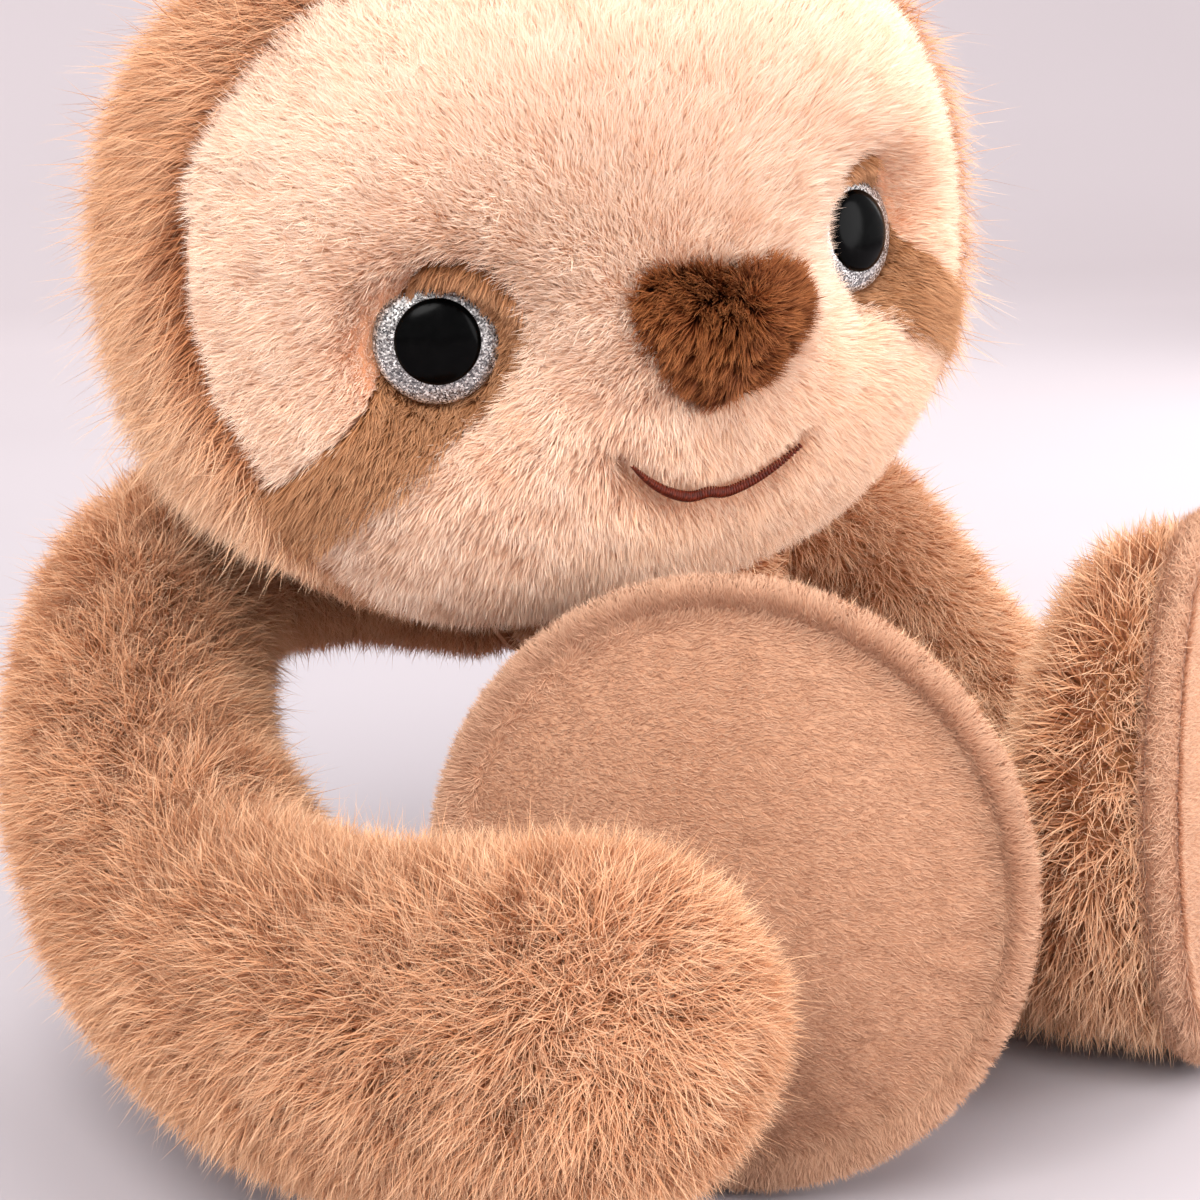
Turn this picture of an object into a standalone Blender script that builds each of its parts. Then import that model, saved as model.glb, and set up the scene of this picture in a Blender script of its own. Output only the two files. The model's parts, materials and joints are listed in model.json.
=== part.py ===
"""A plush sloth that sits with one arm round its own foot: sewn covers, stuffing and sewn-on trim.

Metres, +Z up. The toy sits on the floor plane at z = 0 and its body faces -Y, so its right is -X.
Every sewn piece is a cover of pile cloth over a stuffing core. The head turns and nods on the
neck, and each limb swings in the seam that joins it to the body.
"""
import math

import bmesh
import bpy
from mathutils import Matrix, Vector

# Cloth, thread and clearances
cloth_thickness = 0.0040
seam_gap = 0.0003
stuffing_gap = 0.0008
seat_gap = 0.0006
thread_radius = 0.0009
cut_overrun = 0.0200

# Head
head_half_width = 0.0660
head_half_depth = 0.0550
head_half_height = 0.0560
head_boxiness = 2.45
head_seat_depth = 0.0132
face_panel_start = 0.0160
nod_clearance = 0.0014
head_stand = Vector((-0.243, -0.049, 0.969))
head_turn_deg = 9.0
head_pitch_deg = 13.0
head_roll_deg = -11.5

# Eyes, drawn into dimples on the sides of the face
eye_radius = 0.0090
eye_dome = 0.0034
eye_rim = 0.0014
eye_spacing_share = 0.512
eye_height_share = 0.168
eye_out_deg = 36.0
dimple_depth = 0.0090
dimple_spread = 0.0120
pupil_radius = 0.0061
pupil_dome = 0.0016
shank_radius = 0.0019
shank_length = 0.0120
washer_radius = 0.0065
washer_thickness = 0.0012

# Nose and smile
nose_half_width = 0.0140
nose_half_height = 0.0110
nose_height_share = 0.098
nose_rise = 0.0055
nose_edge_share = 0.97
nose_tilt_deg = -5.0
smile_half_width = 0.0145
smile_drop = 0.0068
smile_notch = 0.0008
smile_notch_share = 0.143
smile_height_share = -0.286
smile_tilt_deg = -8.0
smile_thread = 0.0010
smile_taper_share = 0.75

# Body
body_radius = 0.0380
belly_centre = Vector((0.0050, 0.0030, 0.0310))
shoulder_radius = 0.0230
shoulder_centre = Vector((-0.0080, 0.0100, 0.0740))
seam_stand_off = 0.0031
pouch_radius = 0.0180
pouch_half_height = 0.0080

# Arms
arm_length = 0.2000
arm_root_radius = 0.0150
arm_radius = 0.0200
paw_radius = 0.0240
arm_seat_depth = 0.0040

# Legs and feet
leg_root_radius = 0.0170
leg_seat_depth = 0.0050
leg_reach = 0.0320
foot_length = 0.0140
foot_radius = 0.0400
heel_lift = 0.0008
sole_thickness = 0.0025
sole_bulge = 0.0080
welt_radius = 0.0022

# Outlines and girths, as shares of the sizes above
face_shares = ((0.0, -0.732), (0.12, -0.735), (0.333, -0.732), (0.545, -0.696), (0.727, -0.562),
               (0.841, -0.375), (0.886, -0.25), (0.909, -0.16), (0.955, 0.036), (0.955, 0.25),
               (0.89, 0.56), (0.76, 0.77), (0.56, 0.89), (0.30, 0.945), (0.0, 0.955))
patch_shares = ((0.545, 0.385), (0.465, 0.375), (0.395, 0.3), (0.37, 0.19), (0.385, 0.085),
                (0.45, 0.005), (0.561, -0.045), (0.659, -0.115), (0.738, -0.175), (0.8, -0.25),
                (0.845, -0.34), (0.9, -0.42), (1.0, -0.3), (0.97, -0.16), (0.896, -0.14),
                (0.853, -0.065), (0.794, 0.01), (0.735, 0.085), (0.69, 0.16), (0.655, 0.25),
                (0.61, 0.335))
nose_shares = ((0.0, -1.0), (0.33, -0.75), (0.72, -0.15), (0.97, 0.4), (0.93, 0.82), (0.6, 1.0),
               (0.22, 0.93), (0.0, 0.86))
body_rise_shares = (0.0, 0.35, 0.7, 1.0)
body_girth_shares = (1.0, 0.93, 0.62)
right_arm_shares = ((0.0, 0.0, 0.0), (-0.120, 0.045, 0.022), (-0.2675, -0.008, 0.010),
                    (-0.3375, -0.159, -0.084), (-0.335, -0.309, -0.167),
                    (-0.2925, -0.479, -0.186), (-0.2275, -0.632, -0.168),
                    (-0.1575, -0.731, -0.143))
left_arm_shares = ((0.0, 0.0, 0.0), (0.095, 0.033, -0.045), (0.181, 0.041, -0.160),
                   (0.266, 0.026, -0.253), (0.351, -0.014, -0.294), (0.431, -0.074, -0.289),
                   (0.496, -0.154, -0.281), (0.531, -0.219, -0.281))
arm_girth_shares = (0.0, 0.3, 0.6, 0.8, 0.85, 0.95, 1.0, 1.0)
wrist_share = 0.85
leg_run_shares = ((0.0, 0.0), (0.16, 0.16), (0.27, 0.46), (0.38, 0.74), (0.52, 0.91), (0.68, 0.985),
                  (0.85, 1.0), (1.0, 1.0))

# Ways that the limbs leave the body and that the soles face
right_shoulder_way = Vector((-0.62, 0.78, -0.10))
left_shoulder_way = Vector((0.86, 0.44, 0.25))
right_hip_way = Vector((-0.44, -0.88, -0.19))
left_hip_way = Vector((0.74, -0.64, -0.19))
right_leg_way = Vector((-0.27, -0.96, 0.0))
left_leg_way = Vector((0.78, -0.62, 0.0))
right_foot_way = Vector((-0.60, -0.80, 0.07))
left_foot_way = Vector((0.75, -0.66, 0.07))

# Facets
round_steps = 18
limb_steps = 14
pole_turn = 0.04


def clear_scene():
    for item in list(bpy.data.objects):
        bpy.data.objects.remove(item, do_unlink=True)


def new_collection(name):
    collection = bpy.data.collections.new(name)
    bpy.context.scene.collection.children.link(collection)
    return collection


def material(name, colour, roughness, metallic=0.0):
    made = bpy.data.materials.new(name)
    made.use_nodes = True
    shader = made.node_tree.nodes["Principled BSDF"]
    shader.inputs["Base Color"].default_value = (*colour, 1.0)
    shader.inputs["Roughness"].default_value = roughness
    shader.inputs["Metallic"].default_value = metallic
    return made


def mesh_object(name, bm, collection, surface=None):
    mesh = bpy.data.meshes.new(name)
    bm.normal_update()
    bm.to_mesh(mesh)
    bm.free()
    made = bpy.data.objects.new(name, mesh)
    collection.objects.link(made)
    if surface is not None:
        mesh.materials.append(surface)
    return made


def pivot(name, place, collection, turn=None):
    made = bpy.data.objects.new(name, None)
    made.empty_display_size = thread_radius
    made.matrix_world = Matrix.Translation(place) @ (turn or Matrix.Identity(3)).to_4x4()
    collection.objects.link(made)
    return made


def hang(piece, parent, place=Vector()):
    piece.parent = parent
    piece.location = place


def solidify(piece, thickness):
    shell = piece.modifiers.new("cloth", "SOLIDIFY")
    shell.thickness = thickness
    shell.offset = -1.0
    shell.use_even_offset = True


def cut(piece, cutter, operation="DIFFERENCE"):
    step = piece.modifiers.new(cutter.name, "BOOLEAN")
    step.operation = operation
    step.solver = "EXACT"
    step.object = cutter


def as_cutter(piece):
    piece.display_type = "WIRE"
    piece.hide_render = True
    return piece


def between(before, start, end, after, steps):
    """Steps along a Catmull-Rom curve from its start to just before its end."""
    leaving = (end - before) / 2
    arriving = (after - start) / 2
    run = []
    for step in range(steps):
        t = step / steps
        ease = t * t * (3 - 2 * t)
        run.append(start.lerp(end, ease) + leaving * t * (1 - t) ** 2 - arriving * (1 - t) * t ** 2)
    return run


def smooth_route(points, steps):
    """A smooth run through the points, with the ends doubled."""
    ends = [points[0] * 2 - points[1], *points, points[-1] * 2 - points[-2]]
    run = []
    for index in range(1, len(ends) - 2):
        run += between(*ends[index - 1:index + 3], steps)
    run.append(points[-1].copy())
    return run


def smooth_values(values, steps):
    return [item.x for item in smooth_route([Vector((value, 0.0)) for value in values], steps)]


def round_end(centre, direction, radius, steps, opening=0.0):
    """Stations of a half ball from its pole to its widest ring, as centres and radii."""
    first = math.asin(opening / radius) if opening else pole_turn
    turns = [first + (math.pi / 2 - first) * step / steps for step in range(steps)]
    return [(centre + direction * radius * math.cos(turn), radius * math.sin(turn)) for turn in turns]


def tube(name, stations, collection, surface, sides, open_at=()):
    """A swept form through (centre, radius) stations, made as a bevelled curve and kept as a mesh.

    open_at holds the stations, 0 for the first and -1 for the last, that have no end cap.
    """
    widest = max(radius for _, radius in stations)
    curve = bpy.data.curves.new(name, "CURVE")
    curve.dimensions = "3D"
    curve.bevel_depth = widest
    curve.bevel_resolution = sides // 2 - 2
    curve.use_fill_caps = True
    spline = curve.splines.new("POLY")
    spline.points.add(len(stations) - 1)
    for point, (centre, radius) in zip(spline.points, stations):
        point.co = (*centre, 1.0)
        point.radius = radius / widest
    drawn = bpy.data.objects.new(name, curve)
    collection.objects.link(drawn)
    bpy.context.view_layer.update()
    graph = bpy.context.evaluated_depsgraph_get()
    mesh = bpy.data.meshes.new_from_object(drawn.evaluated_get(graph))
    bpy.data.objects.remove(drawn, do_unlink=True)
    bpy.data.curves.remove(curve)
    bm = bmesh.new()
    bm.from_mesh(mesh)
    bpy.data.meshes.remove(mesh)
    bmesh.ops.remove_doubles(bm, verts=bm.verts, dist=seam_gap / 10)
    bmesh.ops.recalc_face_normals(bm, faces=bm.faces)
    caps = [min(bm.faces, key=lambda face: (face.calc_center_median() - stations[end][0]).length)
            for end in open_at]
    bmesh.ops.delete(bm, geom=caps, context="FACES_ONLY")
    return mesh_object(name, bm, collection, surface)


def stuffing(name, cover, inset, collection, surface):
    """The filling of an open cover: its cloth's form, drawn in by an inset and closed at its ends."""
    bm = bmesh.new()
    bm.from_mesh(cover.data)
    bm.normal_update()
    places = [vertex.co - vertex.normal * inset for vertex in bm.verts]
    for vertex, place in zip(bm.verts, places):
        vertex.co = place
    bmesh.ops.holes_fill(bm, edges=[edge for edge in bm.edges if edge.is_boundary])
    return mesh_object(name, bm, collection, surface)


def loft(name, sections, collection, surface, sides):
    """An open form through round sections, each a centre, the way that it faces and a radius."""
    bm = bmesh.new()
    loops = []
    for centre, facing, radius in sections:
        side = facing.cross(Vector((0.0, 0.0, 1.0))).normalized()
        up = side.cross(facing).normalized()
        turns = [2 * math.pi * index / sides for index in range(sides)]
        loops.append([bm.verts.new(centre + (side * math.cos(turn) + up * math.sin(turn)) * radius)
                      for turn in turns])
    for low, high in zip(loops, loops[1:]):
        for index, corner in enumerate(low):
            after = (index + 1) % sides
            bm.faces.new((corner, high[index], high[after], low[after]))
    return mesh_object(name, bm, collection, surface)


def press_flat(piece, floor):
    """Cloth that lies on the floor is pressed flat there."""
    for vertex in piece.data.vertices:
        vertex.co.z = max(vertex.co.z, floor)


def ball(name, centre, radius, collection, steps=round_steps):
    bm = bmesh.new()
    bmesh.ops.create_uvsphere(bm, u_segments=steps, v_segments=steps // 2, radius=radius)
    made = mesh_object(name, bm, collection)
    made.location = centre
    return made


def ring(name, points, collection, surface):
    curve = bpy.data.curves.new(name, "CURVE")
    curve.dimensions = "3D"
    curve.bevel_depth = thread_radius
    curve.bevel_resolution = 1
    spline = curve.splines.new("POLY")
    spline.points.add(len(points) - 1)
    for point, place in zip(spline.points, points):
        point.co = (*place, 1.0)
    spline.use_cyclic_u = True
    made = bpy.data.objects.new(name, curve)
    made.data.materials.append(surface)
    collection.objects.link(made)
    return made


def across(direction):
    """Two unit vectors square to a direction."""
    side = direction.orthogonal().normalized()
    return side, direction.cross(side).normalized()


def circle(centre, direction, radius, count):
    side, up = across(direction)
    turns = [2 * math.pi * index / count for index in range(count)]
    return [centre + (side * math.cos(turn) + up * math.sin(turn)) * radius for turn in turns]


# Head

head_turn = (Matrix.Rotation(math.radians(head_turn_deg), 3, "Z")
             @ Matrix.Rotation(math.radians(head_pitch_deg), 3, "X")
             @ Matrix.Rotation(math.radians(head_roll_deg), 3, "Y"))


def head_point(direction, grow=0.0):
    """The head's surface along a direction from its centre, in the head's own axes."""
    halves = (head_half_width + grow, head_half_depth + grow, head_half_height + grow)
    total = sum((abs(part) / half) ** head_boxiness for part, half in zip(direction, halves))
    return direction * total ** (-1 / head_boxiness)


def head_front(x, z, grow=0.0):
    """The front surface of the head at a place on the face."""
    width = head_half_width + grow
    height = head_half_height + grow
    rest = 1 - (abs(x) / width) ** head_boxiness - (abs(z) / height) ** head_boxiness
    return -(head_half_depth + grow) * max(rest, 0.0) ** (1 / head_boxiness)


def head_form(name, grow, collection, surface=None, steps=round_steps):
    bm = bmesh.new()
    bmesh.ops.create_uvsphere(bm, u_segments=steps + 8, v_segments=steps, radius=1.0)
    for vertex in bm.verts:
        place = head_point(vertex.co.normalized(), grow)
        place.y += eye_dimple(place)
        vertex.co = place
    return mesh_object(name, bm, collection, surface)


def eye_half_spacing():
    return head_half_width * eye_spacing_share


def eye_height():
    return head_half_height * eye_height_share


def eye_dimple(place):
    """How far the shanks draw the face in at a place on it."""
    if place.y > 0:
        return 0.0
    away = Vector((abs(place.x) - eye_half_spacing(), place.z - eye_height())).length
    return dimple_depth * math.exp(-(away / dimple_spread) ** 2)


def prism(name, outline, start, collection):
    """An outline in the face's plane as a solid that runs forward from a depth, past the face."""
    length = head_half_depth + cut_overrun - start
    curve = bpy.data.curves.new(name, "CURVE")
    curve.dimensions = "2D"
    curve.fill_mode = "BOTH"
    curve.extrude = length / 2
    spline = curve.splines.new("POLY")
    spline.points.add(len(outline) - 1)
    for point, (x, z) in zip(spline.points, outline):
        point.co = (x, z, 0.0, 1.0)
    spline.use_cyclic_u = True
    drawn = bpy.data.objects.new(name, curve)
    collection.objects.link(drawn)
    bpy.context.view_layer.update()
    mesh = bpy.data.meshes.new_from_object(drawn.evaluated_get(bpy.context.evaluated_depsgraph_get()))
    bpy.data.objects.remove(drawn, do_unlink=True)
    bm = bmesh.new()
    bm.from_mesh(mesh)
    bpy.data.meshes.remove(mesh)
    bmesh.ops.remove_doubles(bm, verts=bm.verts, dist=seam_gap / 10)
    bmesh.ops.rotate(bm, verts=bm.verts, matrix=Matrix.Rotation(math.pi / 2, 3, "X"))
    bmesh.ops.translate(bm, verts=bm.verts, vec=(0, -start - length / 2, 0))
    bmesh.ops.recalc_face_normals(bm, faces=bm.faces)
    return as_cutter(mesh_object(name, bm, collection))


def grown(outline, distance):
    """An outline moved outward along its normals."""
    moved = []
    count = len(outline)
    for index, (x, z) in enumerate(outline):
        before = outline[index - 1]
        after = outline[(index + 1) % count]
        along = Vector((after[0] - before[0], after[1] - before[1])).normalized()
        moved.append((x + along.y * distance, z - along.x * distance))
    return moved


def rounded_outline(shares, width, height, steps):
    """A closed smooth outline through points given as shares of a width and a height."""
    points = [Vector((x * width, z * height)) for x, z in shares]
    count = len(points)
    run = []
    for index in range(count):
        run += between(*(points[(index + step) % count] for step in (-1, 0, 1, 2)), steps)
    return [tuple(place) for place in run]


def both_sides(half):
    """A half outline from its bottom to its top, closed with its mirror image."""
    return [*half, *[(-x, z) for x, z in reversed(half[1:-1])]]


def rounded_half(shares, width, height):
    return [tuple(place) for place in smooth_route([Vector((x * width, z * height)) for x, z in shares], 2)]


def tilted(outline, degrees):
    turn = Matrix.Rotation(math.radians(degrees), 2)
    return [tuple(turn @ Vector(place)) for place in outline]


def eye_frame(side):
    """An eye's seat on the face: its place and the turn of its axis, which is the frame's +Z."""
    place = Vector((side * eye_half_spacing(), 0.0, eye_height()))
    place.y = head_front(place.x, place.z)
    place.y += eye_dimple(place)
    out = math.radians(eye_out_deg)
    axis = Vector((side * math.sin(out), -math.cos(out), eye_height_share / 2)).normalized()
    return place, axis.to_track_quat("Z", "Y").to_matrix()


def turned(name, profile, collection, surface, steps):
    """A profile of (radius, height) points that runs up its outer side, turned about Z."""
    bm = bmesh.new()
    corners = [bm.verts.new((radius, 0.0, height)) for radius, height in reversed(profile)]
    for start, end in zip(corners, corners[1:]):
        bm.edges.new((start, end))
    made = mesh_object(name, bm, collection, surface)
    screw = made.modifiers.new("turn", "SCREW")
    screw.steps = steps
    screw.render_steps = steps
    screw.use_merge_vertices = True
    screw.merge_threshold = seam_gap / 10
    return made


def dome_height(radius, share_of, low, high):
    return low + (high - low) * math.sqrt(1 - (radius / share_of) ** 2)


def eye_profile():
    """Shank, back plate and glittered rim, with a round bed for the pupil."""
    bed = pupil_radius + seam_gap
    radii = [eye_radius - (eye_radius - bed) * (step / 3) ** 2 for step in range(1, 4)]
    return [(0.0, -shank_length), (shank_radius, -shank_length), (shank_radius, 0.0),
            (eye_radius, 0.0), (eye_radius, eye_rim),
            *[(radius, dome_height(radius, eye_radius, eye_rim, eye_dome)) for radius in radii],
            (bed, eye_rim), (0.0, eye_rim)]


def pupil_profile():
    low = eye_rim + seam_gap
    edge = dome_height(pupil_radius, eye_radius, eye_rim, eye_dome)
    turns = [math.pi / 2 * step / 5 for step in range(5)]
    return [(0.0, low), (pupil_radius, low),
            *[(pupil_radius * math.cos(turn), edge + pupil_dome * math.sin(turn)) for turn in turns],
            (0.0, edge + pupil_dome)]


def washer_profile():
    low = -shank_length + washer_thickness
    hole = shank_radius + seam_gap
    return [(hole, low), (washer_radius, low), (washer_radius, low + washer_thickness),
            (hole, low + washer_thickness), (hole, low)]


def eye_bed_profile():
    hole = shank_radius + seam_gap
    bed = eye_radius + seam_gap
    return [(0.0, -cut_overrun), (hole, -cut_overrun), (hole, -seam_gap), (bed, -seam_gap),
            (bed, cut_overrun), (0.0, cut_overrun)]


def washer_pocket_profile():
    low = -shank_length - stuffing_gap
    pocket = washer_radius + stuffing_gap
    return [(0.0, low), (pocket, low), (pocket, cut_overrun), (0.0, cut_overrun)]


def pad_on_face(name, outline, centre_height, rise, collection, surface, rings=5):
    """A stuffed pad that lies on the face: rings of its outline, domed in front and flush behind."""
    bm = bmesh.new()
    loops = []
    shares = [1 - step / rings for step in range(rings)]
    for share in [*reversed(shares[1:]), *shares]:
        loops.append([])
        domed = len(loops) >= rings
        for x, z in outline:
            place = Vector((x * share, 0.0, centre_height + z * share))
            lift = seam_gap + (rise * math.sqrt(1 - (share * nose_edge_share) ** 2) if domed else 0.0)
            place.y = head_front(place.x, place.z) - lift
            loops[-1].append(bm.verts.new(place))
    for low, high in zip(loops, loops[1:]):
        for index, corner in enumerate(low):
            after = (index + 1) % len(low)
            bm.faces.new((corner, low[after], high[after], high[index]))
    bm.faces.new(loops[0])
    bm.faces.new(loops[-1])
    bmesh.ops.recalc_face_normals(bm, faces=bm.faces)
    return mesh_object(name, bm, collection, surface)


def build_head(parts, cutters, looks):
    neck = pivot("neck", shoulder_centre, parts, head_turn)
    stand = head_stand.normalized()
    centre = stand * (head_point(-stand).length + shoulder_radius - head_seat_depth)

    def place_all(*pieces):
        for piece in pieces:
            hang(piece, neck, centre)

    socket = as_cutter(ball("neck_socket", Vector(), shoulder_radius + seat_gap, cutters))
    hang(socket, neck)
    face = both_sides(rounded_half(face_shares, head_half_width, head_half_height))
    patch = rounded_outline(patch_shares, head_half_width, head_half_height, 2)
    face_cut = prism("face_outline", face, face_panel_start, cutters)
    cover_cut = prism("face_opening", grown(face, seam_gap), face_panel_start - seam_gap, cutters)
    place_all(face_cut, cover_cut)

    head_cover = head_form("head_cover", 0.0, parts, looks["fur"])
    panel = head_form("face_panel", 0.0, parts, looks["face"])
    for piece in (head_cover, panel):
        solidify(piece, cloth_thickness)
        cut(piece, socket)
    cut(head_cover, cover_cut)
    filling = head_form("head_filling", -(cloth_thickness + 3 * stuffing_gap), parts, looks["filling"], 12)
    cut(filling, socket)
    place_all(head_cover, panel, filling)

    for side, name in ((1, "left"), (-1, "right")):
        outline = [(x * side, z) for x, z in patch][::side]
        behind = face_panel_start - cut_overrun / 2
        patch_cut = prism(f"patch_outline_{name}", outline, behind, cutters)
        panel_cut = prism(f"patch_opening_{name}", grown(outline, seam_gap), behind, cutters)
        eye_patch = head_form(f"eye_patch_{name}", 0.0, parts, looks["patch"])
        solidify(eye_patch, cloth_thickness)
        cut(eye_patch, patch_cut, "INTERSECT")
        cut(panel, panel_cut)
        place_all(patch_cut, panel_cut, eye_patch)

        seat, turn = eye_frame(side)
        eye = turned(f"eye_{name}", eye_profile(), parts, looks["glitter"], 24)
        pupil = turned(f"pupil_{name}", pupil_profile(), parts, looks["pupil"], 24)
        washer = turned(f"eye_washer_{name}", washer_profile(), parts, looks["washer"], 16)
        bed = as_cutter(turned(f"eye_bed_{name}", eye_bed_profile(), cutters, None, 24))
        pocket = as_cutter(turned(f"washer_pocket_{name}", washer_pocket_profile(), cutters, None, 16))
        for piece in (eye, pupil, washer, bed, pocket):
            hang(piece, neck, centre + seat)
            piece.rotation_euler = turn.to_euler()
        for piece in (panel, eye_patch):
            cut(piece, bed)
        cut(eye_patch, face_cut, "INTERSECT")
        cut(filling, pocket)
    cut(panel, face_cut, "INTERSECT")

    nose = tilted(both_sides(rounded_half(nose_shares, nose_half_width, nose_half_height)), nose_tilt_deg)
    nose_height = head_half_height * nose_height_share
    place_all(pad_on_face("nose_patch", nose, nose_height, nose_rise, parts, looks["nose"]))
    place_all(smile(parts, looks["thread"]))
    rim = [rim_on_head(centre, turn) for turn in range(0, 360, 15)]
    seam = ring("neck_seam_thread", rim, parts, looks["seam"])
    hang(seam, neck)
    return neck


def smile(collection, surface):
    """The embroidered smile: one line of satin stitch that thins out at both ends."""
    stations = []
    count = 24
    turn = Matrix.Rotation(math.radians(smile_tilt_deg), 2)
    for step in range(count + 1):
        share = 2 * step / count - 1
        sag = smile_drop * (1 - share ** 2) - smile_notch * math.exp(-(share / smile_notch_share) ** 2)
        x, z = turn @ Vector((smile_half_width * share, -sag))
        z += head_half_height * smile_height_share
        radius = smile_thread * (1 - smile_taper_share * abs(share) ** 3)
        stations.append((Vector((x, head_front(x, z) - seam_gap - smile_thread, z)), radius))
    return tube("mouth_embroidery", stations, collection, surface, 6)


def rim_on_head(centre, turn_deg):
    """A place on the neck's ball where the thread lies just clear of the head's cover."""
    pole = centre.normalized()
    side, up = across(pole)
    around = side * math.cos(math.radians(turn_deg)) + up * math.sin(math.radians(turn_deg))
    reach = shoulder_radius + seat_gap + thread_radius
    low, high = 0.0, math.pi / 2
    for _ in range(24):
        middle = (low + high) / 2
        place = (pole * math.cos(middle) + around * math.sin(middle)) * reach
        clear = head_point((place - centre).normalized(), thread_radius + nod_clearance)
        low, high = (middle, high) if (place - centre).length < clear.length else (low, middle)
    return (pole * math.cos(high) + around * math.sin(high)) * reach


# Body

def seated(centre, radius, toward, root_radius, depth):
    """Where a limb's round root sits when it is sunk by a depth into a round form."""
    return centre + toward.normalized() * (radius + root_radius - depth)


def limb_stations(route, radii, steps=2, opening=0.0):
    """A rounded root, the swelling and tapering run, and a rounded tip."""
    run = smooth_route(route, steps)
    girths = smooth_values(radii, steps)
    start = (run[0] - run[1]).normalized()
    end = (run[-1] - run[-2]).normalized()
    return [*round_end(run[0], start, girths[0], 4, opening), *zip(run, girths),
            *round_end(run[-1], end, girths[-1], 4)[::-1]]


def seam_ring(name, centre, radius, root, root_radius, parts, surface):
    """Thread in the groove where a limb's round root meets a rounder form."""
    away = root - centre
    far = away.length
    reach = radius + thread_radius + seam_stand_off
    root_reach = root_radius + thread_radius + seat_gap
    along = (far ** 2 + reach ** 2 - root_reach ** 2) / (2 * far)
    across_groove = math.sqrt(reach ** 2 - along ** 2)
    middle = centre + away.normalized() * along
    return ring(name, circle(middle, away.normalized(), across_groove, 22), parts, surface)


def build_body(parts, cutters, looks, sockets):
    route = [belly_centre.lerp(shoulder_centre, share) for share in body_rise_shares]
    radii = [*(body_radius * share for share in body_girth_shares), shoulder_radius]
    inset = cloth_thickness + stuffing_gap
    cover = tube("body_cover", limb_stations(route, radii, 2), parts, looks["fur"], round_steps)
    press_flat(cover, 0.0)
    core = stuffing("body_filling", cover, inset, parts, looks["filling"])
    solidify(cover, cloth_thickness)
    for socket in sockets:
        cut(cover, socket)
        cut(core, socket)
    middle = Vector((belly_centre.x, belly_centre.y, inset + pouch_half_height))
    pouch = as_pouch(ball("pellet_pouch", middle, pouch_radius, parts))
    pouch.data.materials.append(looks["pellets"])
    pocket = as_pouch(ball("pouch_pocket", middle, pouch_radius, cutters), stuffing_gap)
    cut(core, as_cutter(pocket))


def as_pouch(form, grow=0.0):
    form.scale = (*[(pouch_radius + grow) / pouch_radius] * 2, (pouch_half_height + grow) / pouch_radius)
    return form


# Limbs

def arm_girth(share):
    """The arm swells from its root to the wrist, then again to the paw."""
    if share < wrist_share:
        return arm_root_radius + (arm_radius - arm_root_radius) * share / wrist_share
    return arm_radius + (paw_radius - arm_radius) * (share - wrist_share) / (1 - wrist_share)


def build_arm(name, shares, way, parts, cutters, looks):
    root = seated(shoulder_centre, shoulder_radius, way, arm_root_radius, arm_seat_depth)
    shoulder = pivot(f"shoulder_{name}", root, parts)
    route = [Vector(share) * arm_length for share in shares]
    radii = [arm_girth(share) for share in arm_girth_shares]
    cover = tube(f"arm_{name}_cover", limb_stations(route, radii, 2, arm_root_radius / 3), parts,
                 looks["fur"], limb_steps, (0,))
    finish_limb(cover, f"arm_{name}_filling", shoulder, parts, looks)
    seam_ring(f"shoulder_seam_{name}", shoulder_centre, shoulder_radius, root, arm_root_radius,
              parts, looks["seam"])
    return as_cutter(ball(f"arm_socket_{name}", root, arm_root_radius + seat_gap, cutters))


def finish_limb(cover, filling_name, root, parts, looks):
    """Stuff a limb's open cover, give the cloth its thickness and hang both on the limb's root."""
    core = stuffing(filling_name, cover, cloth_thickness + stuffing_gap, parts, looks["filling"])
    solidify(cover, cloth_thickness)
    hang(cover, root)
    hang(core, root)


def sole_pad(name, parts, looks):
    """The stuffed sole: a flat back and a domed front of velour, turned about the foot's axis."""
    low = stuffing_gap
    turns = [math.pi / 2 * step / 5 for step in range(5)]
    profile = [(0.0, low), (foot_radius, low), (foot_radius, low + sole_thickness / 2),
               *[(foot_radius * math.cos(turn), low + sole_thickness + sole_bulge * math.sin(turn))
                 for turn in turns],
               (0.0, low + sole_thickness + sole_bulge)]
    return turned(name, profile, parts, looks["velour"], 32)


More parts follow.
